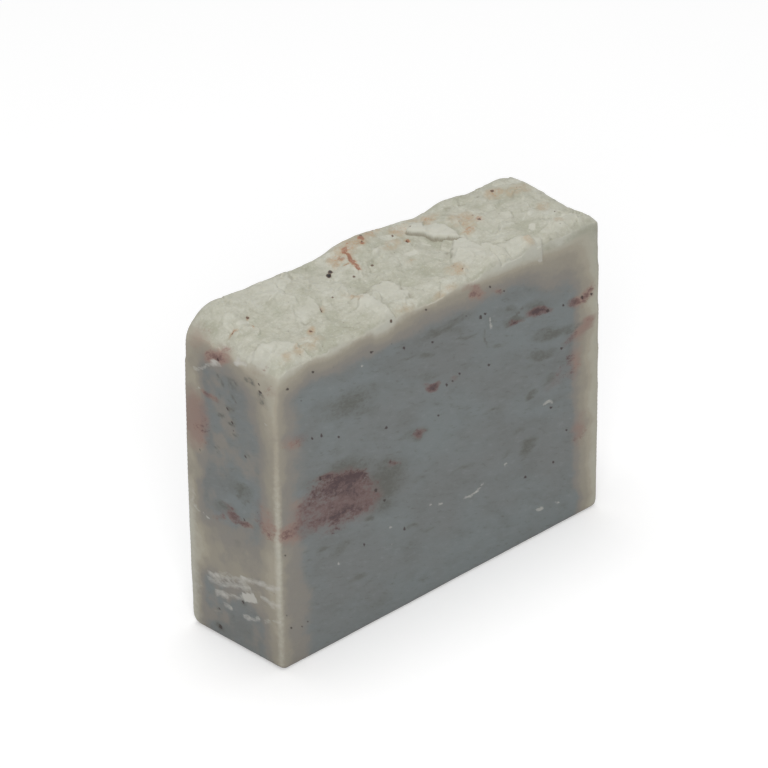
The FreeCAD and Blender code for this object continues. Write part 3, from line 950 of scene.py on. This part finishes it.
# %% Blush the skin
# Soft rosy patches with no dark grain, where clay lies close under the pale skin.
FRONT_BLUSH = [
    (38.0, 41.4, 4.6, 1.9, 22, 0.90), (35.6, 34.6, 2.6, 4.2, -10, 0.45),
    (36.6, 19.4, 2.4, 4.6, 6, 0.50), (37.6, 47.8, 3.0, 1.4, 0, 0.55),
]
LEFT_BLUSH = [(9.6, 46.0, 4.9, 7.0, 2, 1.0)]
blush = np.maximum(streak_layer(FRONT_BLUSH, X, on_front), streak_layer(LEFT_BLUSH, Y, on_left))
print("rosy patches:", len(FRONT_BLUSH) + len(LEFT_BLUSH))

# %% List the smudges
# Each smudge on the front, in the same terms as a clay streak.
FRONT_SMUDGES = [
    (-15.6, 29.6, 8.0, 6.6, -14, 1.00), (-15.4, 25.2, 4.4, 2.0, -20, 0.78),
    (-26.0, 36.6, 10.5, 3.3, -6, 1.00), (-6.5, 36.4, 3.0, 1.7, 0, 0.80),
    (-23.6, 50.6, 9.5, 4.0, -6, 0.80), (-20.0, 47.2, 4.6, 1.6, -10, 0.68),
    (1.0, 56.6, 9.0, 1.2, 2, 0.81), (3.4, 54.6, 4.0, 1.0, -8, 0.57),
    (-3.0, 47.8, 5.0, 1.2, -16, 0.57), (19.0, 50.6, 4.2, 0.9, -10, 1.05),
    (25.2, 50.8, 5.2, 2.0, -12, 0.85), (18.4, 52.8, 3.4, 1.0, -20, 0.68),
    (30.2, 43.4, 6.6, 1.4, -10, 0.90), (27.2, 44.8, 3.4, 0.8, -20, 0.60),
    (26.6, 40.2, 5.4, 1.1, -14, 0.78), (24.0, 38.8, 2.4, 0.7, 6, 0.55),
    (19.4, 50.4, 3.0, 0.45, -14, 1.10), (28.6, 33.8, 2.4, 1.4, 10, 0.81),
    (24.2, 32.4, 2.4, 1.1, 10, 0.95), (20.4, 26.2, 1.8, 1.2, 0, 0.61),
    (23.4, 21.6, 3.4, 2.0, 10, 0.95), (16.8, 22.4, 2.0, 1.2, 0, 0.54),
    (-26.6, 20.4, 4.4, 1.7, 6, 0.61), (-19.2, 23.8, 1.9, 0.7, -16, 0.95),
    (-8.6, 17.2, 3.0, 0.9, -20, 0.74), (-3.6, 14.6, 3.0, 0.7, -16, 0.68),
    (-9.6, 37.2, 2.6, 1.2, 0, 0.54), (-17.0, 4.0, 5.0, 1.6, 0, 0.47),
    (35.0, 42.0, 3.4, 0.6, 14, 0.81), (-27.0, 42.0, 1.4, 2.6, 0, 0.41),
    (11.2, 49.8, 2.8, 0.30, 90, 1.10), (19.6, 51.6, 3.2, 0.35, 10, 1.20),
    (-4.0, 52.2, 3.6, 0.60, -6, 0.85), (6.4, 52.6, 4.2, 0.60, -4, 0.85),
    (-9.0, 54.0, 3.0, 0.50, -8, 0.75), (15.0, 46.8, 3.4, 0.60, -8, 0.70),
    (-31.0, 22.0, 3.0, 0.60, -6, 0.80), (-22.0, 12.0, 4.0, 0.80, -6, 0.70),
    (6.0, 24.0, 4.0, 0.80, -6, 0.65), (14.0, 33.0, 4.0, 0.90, -10, 0.60),
    (-6.0, 27.0, 3.4, 0.70, -8, 0.60),
]
LEFT_SMUDGES = [
    (-3.0, 36.0, 4.0, 2.2, 0, 0.80), (1.6, 30.0, 4.0, 1.6, -10, 0.75),
    (0.2, 52.0, 1.8, 1.0, 0, 0.80), (-0.6, 49.4, 1.2, 1.0, 0, 0.60),
    (-0.5, 58.6, 2.6, 1.0, -10, 0.55), (-4.4, 43.8, 1.6, 1.0, 0, 0.50),
    (-8.5, 58.8, 1.4, 1.0, 0, 0.80), (-9.0, 57.0, 2.4, 1.6, 0, 0.50),
    (-1.2, 23.6, 1.5, 0.8, 0, 0.50), (4.2, 2.6, 1.8, 1.1, 0, 1.10),
    (4.4, 6.6, 0.9, 0.6, 0, 0.70), (-2.4, 11.0, 1.5, 0.8, -10, 0.90),
    (-5.6, 60.4, 1.6, 1.0, 0, 0.40), (-1.0, 5.0, 8.0, 3.0, -10, 0.25),
]
# Small dark clusters on the left end, by their y and z.
LEFT_SPOTS = [
    (2.0, 56.8), (0.2, 57.5), (-1.9, 58.2), (0.4, 51.5), (2.1, 49.7), (-0.7, 49.3), (-1.2, 47.4),
    (-1.7, 35.7), (-2.8, 34.3), (-4.8, 34.5), (-7.9, 58.5), (-8.8, 56.8), (3.7, 42.1),
    (-4.4, 43.6), (-5.8, 60.0), (-1.0, 54.6),
]
# Each cluster is one spot with two crumbs beside it.
for spot_y, spot_z in LEFT_SPOTS:
    LEFT_SMUDGES.append((spot_y, spot_z, 0.75, 0.55, -20, 0.95))
    for _ in range(2):
        crumb_y, crumb_z = spot_y + dice.uniform(-1.4, 1.4), spot_z + dice.uniform(-0.9, 0.9)
        LEFT_SMUDGES.append((crumb_y, crumb_z, 0.50, 0.42, 0, 0.80))
BACK_SMUDGES = [
    (-20.0, 30.0, 9.0, 3.0, 12, 0.55), (12.0, 36.0, 8.0, 2.6, 14, 0.55),
    (28.0, 33.0, 4.0, 1.4, 10, 0.50), (-4.0, 18.0, 7.0, 2.0, 8, 0.45),
    (20.0, 54.0, 6.0, 1.4, 12, 0.50),
]

# %% Smudge the core
SMUDGE_STRENGTH = 1.10
smudge = SMUDGE_STRENGTH * np.maximum.reduce([
    streak_layer(FRONT_SMUDGES, X, on_front),
    streak_layer(LEFT_SMUDGES, Y, on_left),
    streak_layer(BACK_SMUDGES, X, on_back),
])
print("smudges:", len(FRONT_SMUDGES) + len(LEFT_SMUDGES) + len(BACK_SMUDGES))

# %% Sprinkle the specks
def speck_layer(specks, along, across, weight):
    """1 at the middle of each speck and 0 one and a half radii away."""
    layer = np.zeros(COUNT)
    for mid_along, mid_across, radius in specks:
        away_from = np.hypot(along - mid_along, across - mid_across)
        darkness = min(1.0, max(0.35, 1.4 * (radius - 0.08) / 0.20))
        layer = np.maximum(layer, darkness * np.clip(1.5 - away_from / (radius * 1.25), 0.0, 1.0))
    return layer * weight


speck = np.maximum.reduce([
    speck_layer(FRONT_SPECKS, X, Z, on_front),
    speck_layer(LEFT_SPECKS, Y, Z, on_left),
    speck_layer(TOP_SPECKS, X, Y, on_top),
])
for *middle, half_length, half_width, turned in LEAVES:
    leaf = oval(X, Y, middle, half_length, half_width, turned, gain=4.0, most=1.6)
    speck = np.maximum(speck, leaf * on_top)
print("specks placed:", len(FRONT_SPECKS) + len(LEFT_SPECKS) + len(TOP_SPECKS) + len(LEAVES))

# %% Bleed the orange oil
# Each stain on the top: its middle in x and y, half length, half width, turn, strength.
STAINS = [
    (-4.6, 8.3, 1.5, 0.70, 100, 1.35), (-5.2, 6.6, 1.8, 0.75, 50, 1.35),
    (-6.0, 4.4, 1.7, 0.55, 92, 1.30), (-6.9, 5.4, 1.0, 0.40, 160, 1.00),
    (0.6, 9.6, 1.6, 1.0, 50, 1.15), (-2.0, 10.2, 1.4, 0.6, 10, 0.80),
    (-6.4, 3.4, 1.3, 0.60, 100, 1.10), (-6.2, 7.6, 1.7, 1.1, 60, 0.92),
    (-0.6, 8.2, 1.5, 0.9, 60, 1.05), (-5.5, 5.8, 1.5, 1.0, 70, 1.10),
    (-4.0, 9.2, 1.6, 1.2, 10, 0.95), (-8.4, 7.0, 2.0, 1.2, 40, 0.66),
    (-2.6, 9.4, 6.6, 3.2, 10, 0.66), (-7.3, 8.8, 3.0, 2.0, 30, 0.60),
    (4.0, 10.8, 4.6, 2.0, 12, 0.66), (34.3, 7.7, 3.6, 2.2, 20, 0.62),
    (37.9, 5.4, 4.4, 2.8, -10, 0.45), (9.3, 8.6, 3.8, 1.9, 10, 0.58),
    (17.5, 8.4, 3.4, 2.2, 20, 0.58), (21.9, 3.9, 4.2, 3.2, 20, 0.58),
    (24.3, 1.8, 1.8, 1.3, 40, 0.80), (20.2, 0.4, 3.0, 1.2, 10, 0.70),
    (8.1, 4.9, 1.0, 0.7, 0, 1.10), (3.9, 5.3, 4.4, 1.8, 10, 0.50),
    (-35.0, 1.7, 1.5, 0.5, 70, 0.95), (-39.0, 2.6, 1.6, 0.5, 0, 0.95),
    (-33.9, 4.1, 1.0, 0.6, 30, 0.80), (-27.4, -5.9, 1.8, 1.1, 30, 0.75),
    (-20.8, -2.0, 1.8, 0.8, 50, 0.62), (-14.2, -3.4, 3.0, 1.0, -60, 0.55),
    (-13.8, -5.2, 1.0, 0.8, 0, 0.50), (37.2, -2.4, 2.6, 1.6, 40, 0.58),
    (25.0, -10.6, 2.2, 1.6, 60, 0.50), (7.9, -8.6, 3.4, 2.4, 0, 0.56),
    (3.7, -0.7, 1.8, 0.9, 0, 0.60), (-34.2, -9.9, 3.0, 1.2, 30, 0.50),
    (-30.6, -9.0, 4.6, 2.8, 20, 0.36), (1.2, -12.0, 4.2, 1.2, 0, 0.42),
    (35.6, -8.6, 2.6, 1.4, 30, 0.34), (-38.0, -10.5, 3.4, 1.4, 20, 0.40),
    (-9.0, -11.5, 4.0, 1.4, 0, 0.34), (14.6, 10.2, 2.4, 1.2, 0, 0.40),
]
stain = ovals(STAINS, X + 0.5 * bend, Y + 0.5 * small_bend, 1.6) * fade(0.0, 0.5, facing[:, 2])
print("stains:", len(STAINS))

# %% [markdown]
# ## Pale marks
# Scratches and chips look pale, because rough soap scatters more light. They could be
# cut into the mesh, but most of them are finer than its squares. So they are layers of
# colour, and only the gouges on the left end are relief too. The top rim and the upright
# edges get a painted highlight in the same pale layer.

# %% Scratch the front
# Each pale mark on the front: its half width in mm and its line in x and z.
PALE_MARKS = [
    (0.30, [(12.7, 53.6), (13.0, 51.6)]), (0.28, [(25.8, 60.9), (26.6, 60.6)]),
    (0.30, [(26.7, 62.4), (26.8, 61.2)]),
    (0.28, [(5.8, 17.4), (7.6, 17.0), (9.6, 17.6), (10.6, 18.4)]),
    (0.45, [(25.6, 6.2), (26.8, 5.9)]), (0.34, [(27.2, 28.8), (28.6, 29.2), (29.6, 28.4)]),
    (0.26, [(-3.6, 19.8), (-3.2, 19.7)]), (0.26, [(-14.2, 19.4), (-13.9, 19.3)]),
    (0.26, [(16.6, 20.0), (17.0, 20.1)]), (0.24, [(-13.7, 15.4), (-13.5, 15.3)]),
    (0.24, [(-20.9, 57.3), (-20.7, 57.2)]), (0.22, [(-1.4, 19.0), (-0.4, 18.8)]),
    (0.22, [(30.6, 5.6), (31.6, 5.4)]), (0.22, [(-27.8, 17.6), (-27.5, 17.4)]),
]
scuff = np.maximum(scuff, on_front * strokes(PALE_MARKS, X, Z, 0.5))
print("pale marks on the front:", len(PALE_MARKS))

# %% Whiten the top, and paint highlights on the rims and upright edges
TOP_PALE_MARKS = [
    (0.5, [(29.4, -7.2), (30.2, -6.4)]), (0.30, [(32.8, -3.2), (34.0, -2.6)]),
    (0.45, [(-41.4, -4.6), (-40.6, -4.2)]), (0.40, [(-13.2, -11.4), (-12.4, -10.8)]),
    (0.35, [(35.6, -7.0), (36.8, -8.0), (37.8, -7.4)]), (0.5, [(4.8, 1.6), (6.6, 1.2)]),
    (0.4, [(1.6, -12.4), (3.0, -12.2)]), (0.35, [(9.6, 7.6), (10.4, 8.4)]),
    (0.28, [(-37.0, 3.5), (-34.8, 3.2)]), (0.35, [(10.5, 3.2), (11.3, 2.2)]),
]
# Painted highlight: a pale band just under the top rim on the walls, and pale stripes down the
# front-left and back-left upright edges, stronger low down.
rim_highlight = fade(3.2, 0.0, under_hang) * np.maximum(on_cut, 0.6 * on_end) * side_share
edge_highlight = 0.74 * bell(edge_left, 1.25) * fade(62.0, 24.0, Z)
edge_highlight = np.maximum(edge_highlight, 0.85 * bell(edge_distance(-1, 1), 2.8) * fade(40.0, 22.0, Z))
paleness = np.clip(np.maximum(paleness, 1.3 * strokes(TOP_PALE_MARKS, X, Y, 0.4)), 0.0, 1.3)
print("pale marks on the top:", len(TOP_PALE_MARKS))

# %% Chip the left end
LEFT_CHIPS = [
    (3.7, 60.1, 1.6, 0.7, -4, 1.3), (-2.8, 62.9, 1.9, 0.7, 0, 1.0), (-9.7, 52.9, 0.7, 0.8, 0, 1.0),
    (7.6, 53.0, 0.9, 0.5, -40, 1.0), (5.6, 13.8, 1.2, 1.0, -20, 1.1),
    (3.6, 10.3, 1.7, 1.0, -20, 1.1), (10.3, 30.0, 0.9, 1.3, 0, 0.60),
    (9.8, 27.2, 1.0, 0.9, 0, 0.80), (8.9, 26.3, 0.8, 0.6, 0, 0.75), (7.7, 26.4, 0.7, 0.6, 0, 0.80),
    (6.2, 25.9, 1.0, 0.6, -10, 0.85), (11.2, 28.5, 0.8, 1.6, 0, 0.70),
    (-2.6, 16.2, 1.3, 0.6, -20, 1.1), (-3.8, 8.3, 1.3, 0.5, -16, 1.2),
    (1.6, 8.4, 1.0, 0.6, -20, 0.9), (-12.4, 35.8, 0.7, 1.2, 0, 0.7),
]
chip_layer = streak_layer(LEFT_CHIPS, Y, on_left)
# One chip is clean, with four straight sides.
CLEAN_CHIP = [(-2.2, 13.0), (-5.3, 14.1), (-6.3, 12.7), (-2.6, 11.4)]
clean_chip = on_left * fade(-0.35, 0.30, outline_depth(Y, Z, CLEAN_CHIP))
scuff = np.maximum.reduce([scuff * 0.85, chip_layer, 1.6 * clean_chip])
print("pale chips on the left end:", len(LEFT_CHIPS) + 1)

# %% [markdown]
# ## Layers on the mesh
# The values are kept on the points of the mesh as named attributes. Painted pictures
# would do too, but they need the surface unwrapped first. An attribute stays with its
# point in every view.

# %% Store the layers on the mesh
LAYERS = {
    "skin": skin, "clay": clay, "blush": blush, "smudge": smudge, "speck": speck,
    # Painted shade: this layer darkens the creases and the band under the petal's lip.
    "stain": stain, "scuff": scuff, "painted_shade": shade * on_top,
    # The pale layer holds paler flakes and pale marks, and also the painted highlights on the rims and
    # upright edges.
    "pale": np.maximum.reduce([paleness * fade(0.0, 0.6, facing[:, 2]), 0.85 * rim_highlight, edge_highlight]),
}
for layer_name, values in LAYERS.items():
    layer = soap_mesh.attributes.new(layer_name, "FLOAT", "POINT")
    layer.data.foreach_set("value", values.astype(np.float32))
print("layers:", sorted(LAYERS))

# %% [markdown]
# ## The soap's material
# Soap is waxy: light goes a little way in before it comes back, and the shine is low
# and soft. The colour starts as the blue-grey core, turns through olive to cream as
# the skin layer rises, and then takes the clay, the smudges, the stains, the specks
# and the pale marks. Each layer is roughened by noise before it is used, so that its
# border is grainy and not a smooth blur.

# %% Define the material helpers
soap_material = bpy.data.materials.new("marbled_soap")
soap_material.use_nodes = True
recipe = soap_material.node_tree
recipe.nodes.clear()
where = add_node(recipe, "TexCoord", {}).outputs["Object"]


def sum_up(kind, first, second, third=0.0):
    """A Math node of this kind."""
    values = {0: first, 1: second, 2: third}
    return add_node(recipe, "Math", values, operation=kind).outputs[0]


def times(first, second):
    """One value times another."""
    return sum_up("MULTIPLY", first, second)


def shaken(noise_source, amount, value):
    """A value that noise moves up and down by this amount."""
    return sum_up("MULTIPLY_ADD", sum_up("SUBTRACT", noise_source, 0.5), amount, value)


def rise_between(value, low, high, to_low=0.0, to_high=1.0):
    """Goes smoothly from one value to another while the input crosses a range."""
    values = {"Value": value, "From Min": low, "From Max": high, "To Min": to_low, "To Max": to_high}
    return add_node(recipe, "MapRange", values, interpolation_type="SMOOTHSTEP").outputs["Result"]


def cloud(size_mm, detail=3.0, roughness=0.55, lean_deg=0.0, stretch=1.0):
    """Noise with clouds of this size, stretched along a leaning line."""
    lean = (math.radians(lean_deg), math.radians(-lean_deg), 0.0)
    values = {"Vector": where, "Rotation": lean, "Scale": (stretch, stretch, 1.0)}
    turned = add_node(recipe, "Mapping", values, vector_type="TEXTURE").outputs[0]
    values = {"Vector": turned, "Scale": 1.0 / (size_mm * MM), "Detail": detail, "Roughness": roughness}
    return add_node(recipe, "TexNoise", values).outputs["Fac"]


def layer(name):
    """Reads one layer from the mesh."""
    return add_node(recipe, "Attribute", {}, attribute_name=name).outputs["Fac"]


def grainy(name, noise_source, amount, low, high):
    """A layer whose border is broken up by noise."""
    return rise_between(shaken(noise_source, amount, layer(name)), low, high)


def mixed(share, under, over):
    """Lays one colour over another."""
    values = {"Factor": share, "A": under, "B": over}
    return add_node(recipe, "Mix", values, data_type="RGBA").outputs["Result"]


print("nodes to start with:", len(recipe.nodes))

# %% Mix the core and its skin
# The clouds go from broad patches down to grit, and most are drawn out along the flow.
broad = cloud(14.0, 3.0, 0.55, -18.0, 1.6)
middling = cloud(4.0, 4.0, 0.60, -18.0, 2.0)
fine = cloud(0.9, 3.0, 0.60)
flow = cloud(0.75, 4.0, 0.70, -18.0, 3.0)
grit = cloud(0.42, 2.0, 0.60)

core = mixed(rise_between(broad, 0.36, 0.64), paint(122, 125, 124), paint(125, 131, 131))
core = mixed(rise_between(middling, 0.46, 0.72, 0.0, 0.50), core, paint(115, 117, 115))
core = mixed(rise_between(flow, 0.52, 0.78, 0.0, 0.55), core, paint(137, 142, 141))
core = mixed(rise_between(flow, 0.46, 0.26, 0.0, 0.60), core, paint(105, 106, 102))

shaken_skin = shaken(middling, 0.28, shaken(fine, 0.14, layer("skin")))
ramp = add_node(recipe, "ValToRGB", {"Fac": shaken_skin})
ramp.color_ramp.interpolation = "EASE"
SKIN_COLOURS = [
    (0.00, (124, 128, 127)), (0.25, (139, 135, 128)), (0.45, (154, 148, 135)),
    (0.62, (167, 160, 145)), (0.80, (178, 174, 159)), (1.00, (182, 181, 167)),
]
for index, (at, colour) in enumerate(SKIN_COLOURS):
    stop = ramp.color_ramp.elements[index] if index < 2 else ramp.color_ramp.elements.new(at)
    stop.position = at
    stop.color = paint(*colour)
colour = mixed(rise_between(shaken_skin, 0.04, 0.26), core, ramp.outputs["Color"])
print("nodes after the skin:", len(recipe.nodes))

# %% Tone the top
top_cloud = cloud(2.2, 5.0, 0.70)
powder = cloud(0.50, 4.0, 0.75)
on_skin = rise_between(layer("skin"), 0.8, 1.0)
wide_cloud = cloud(6.5, 3.0, 0.60)
# Each tone: the cloud that places it, where it starts and is full, its share, its colour.
TOP_TONES = [
    (wide_cloud, 0.54, 0.36, 0.70, (162, 162, 144)), (wide_cloud, 0.52, 0.68, 0.50, (198, 198, 187)),
    (top_cloud, 0.46, 0.66, 0.62, (163, 161, 145)), (top_cloud, 0.44, 0.30, 0.42, (200, 200, 189)),
    (powder, 0.48, 0.30, 0.50, (162, 158, 141)), (powder, 0.52, 0.70, 0.45, (204, 204, 194)),
]
for source, low, high, amount, tone in TOP_TONES:
    share = times(on_skin, rise_between(source, low, high, 0.0, amount))
    colour = mixed(share, colour, paint(*tone))
# Paler flakes and marks, and the painted highlights on the rims and upright edges.
colour = mixed(grainy("pale", fine, 0.45, 0.15, 1.00), colour, paint(193, 192, 180))
# Painted shade and shadow: the creases and the band under the petal's lip go darker.
colour = mixed(grainy("painted_shade", fine, 0.45, 0.35, 1.50), colour, paint(140, 135, 119))
print("tones on the top:", len(TOP_TONES))

# %% Add the orange stains
# A stain is a faint warm halo with orange grains in it.
speckle = cloud(0.60, 5.0, 0.75, -18.0, 1.5)
has_stain = rise_between(layer("stain"), 0.0, 0.25)
halo = times(rise_between(layer("stain"), 0.0, 0.45, 0.0, 0.75), rise_between(top_cloud, 0.34, 0.62))
colour = mixed(halo, colour, paint(174, 159, 136))
stain_share = times(has_stain, grainy("stain", powder, 2.2, 0.52, 1.15))
stain_colour = mixed(rise_between(layer("stain"), 0.50, 1.10), paint(176, 128, 92), paint(140, 82, 54))
colour = mixed(times(stain_share, 0.80), colour, stain_colour)
print("nodes after the stains:", len(recipe.nodes))

# %% Add the smudges
# A smudge is a thin grey veil with darker mottles in it.
mottle = sum_up("MULTIPLY_ADD", flow, 0.5, times(speckle, 0.5))
colour = mixed(rise_between(layer("smudge"), 0.02, 0.80, 0.0, 0.42), colour, paint(108, 109, 104))
smudge_share = grainy("smudge", mottle, 3.0, 0.35, 1.20)
smudge_share = times(smudge_share, rise_between(layer("smudge"), 0.0, 0.25))
colour = mixed(times(smudge_share, 0.80), colour, paint(97, 97, 91))

# %% Add the clay
# The blush is a soft rosy veil. The clay has a torn border and is darkest at its
# middle, and where it lies in the pale skin it is rosier and lighter.
by_skin = rise_between(layer("skin"), 0.08, 0.28)
blush_share = times(grainy("blush", top_cloud, 0.35, 0.05, 0.75), 0.85)
colour = mixed(blush_share, colour, paint(147, 125, 116))
warm = rise_between(layer("clay"), 0.02, 0.55, 0.0, 0.55)
colour = mixed(warm, colour, mixed(by_skin, paint(122, 108, 104), paint(152, 130, 119)))
fine_tear = sum_up("MULTIPLY_ADD", flow, 0.35, times(speckle, 0.95))
torn = sum_up("SUBTRACT", sum_up("MULTIPLY_ADD", middling, 0.65, fine_tear), 0.475)
has_clay = rise_between(layer("clay"), 0.0, 0.14)
clay_share = times(has_clay, grainy("clay", torn, 2.0, 0.24, 0.74))
depth_tone = shaken(middling, 1.4, shaken(torn, 2.4, layer("clay")))
clay_dark = mixed(rise_between(depth_tone, 0.42, 1.32), paint(118, 95, 92), paint(79, 61, 63))
clay_rosy = mixed(rise_between(depth_tone, 0.55, 1.20), paint(151, 126, 116), paint(116, 88, 84))
clay_colour = mixed(by_skin, clay_dark, clay_rosy)
colour = mixed(times(clay_share, 0.88), colour, clay_colour)
print("nodes after the clay:", len(recipe.nodes))

# %% Add the pale marks and the specks
scuff_share = times(grainy("scuff", flow, 1.10, 0.32, 1.10), 0.90)
colour = mixed(scuff_share, colour, paint(194, 192, 185))
# Dust is scattered by cells of noise, and only some cells have a grain.
DUST_CELL_MM = 3.4
dust = add_node(recipe, "TexVoronoi", {"Vector": where, "Scale": 1.0 / (DUST_CELL_MM * MM)}).outputs
picked = rise_between(dust["Color"], 0.62, 0.70)
dust_share = times(rise_between(dust["Distance"], 0.060, 0.025), picked)
colour = mixed(times(dust_share, 0.45), colour, paint(92, 84, 80))
speck_share = grainy("speck", grit, 0.35, 0.20, 0.60)
speck_colour = mixed(on_skin, paint(66, 54, 52), paint(84, 58, 46))
colour = mixed(times(speck_share, 0.88), colour, speck_colour)
# The crumbs of leaf have values above 1 and go nearly black.
colour = mixed(rise_between(layer("speck"), 1.02, 1.40), colour, paint(30, 26, 23))
print("nodes after the specks:", len(recipe.nodes))

# %% Finish the surface
height = sum_up("ADD", times(grit, 0.5), fine)
grain = add_node(recipe, "Bump", {"Strength": 0.55, "Distance": 0.00012, "Height": height})
soap = add_node(recipe, "BsdfPrincipled", {
    "Base Color": colour,
    "Roughness": rise_between(middling, 0.30, 0.72, 0.50, 0.66),
    "Specular IOR Level": 0.30,
    "Subsurface Weight": 0.18,
    "Subsurface Radius": (1.0, 0.9, 0.75),
    "Subsurface Scale": 0.0012,
    "Normal": grain.outputs["Normal"],
})
add_node(recipe, "OutputMaterial", {"Surface": soap.outputs[0]})
soap_mesh.materials.append(soap_material)
print("material nodes:", len(recipe.nodes))

# %% [markdown]
# ## The bar in its place
# The mesh already has the imported bar's place in it, so its object stays at the origin,
# unturned. It rides on the part's own body, stands in for the imported bar in the
# picture, and takes the soap's material.

# %% Place the bar
soap_bar = put_in_scene("soap_bar_cut_slice", soap_mesh)
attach(soap_bar, "root")
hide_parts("soap_bar")
print("shown piece:", soap_bar.name)

# %% Write the sizes and finish
shown_low, shown_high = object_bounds()
shown_size = [round((high - low) / MM, 2) for low, high in zip(shown_low, shown_high)]
print("shown size in mm:", shown_size)
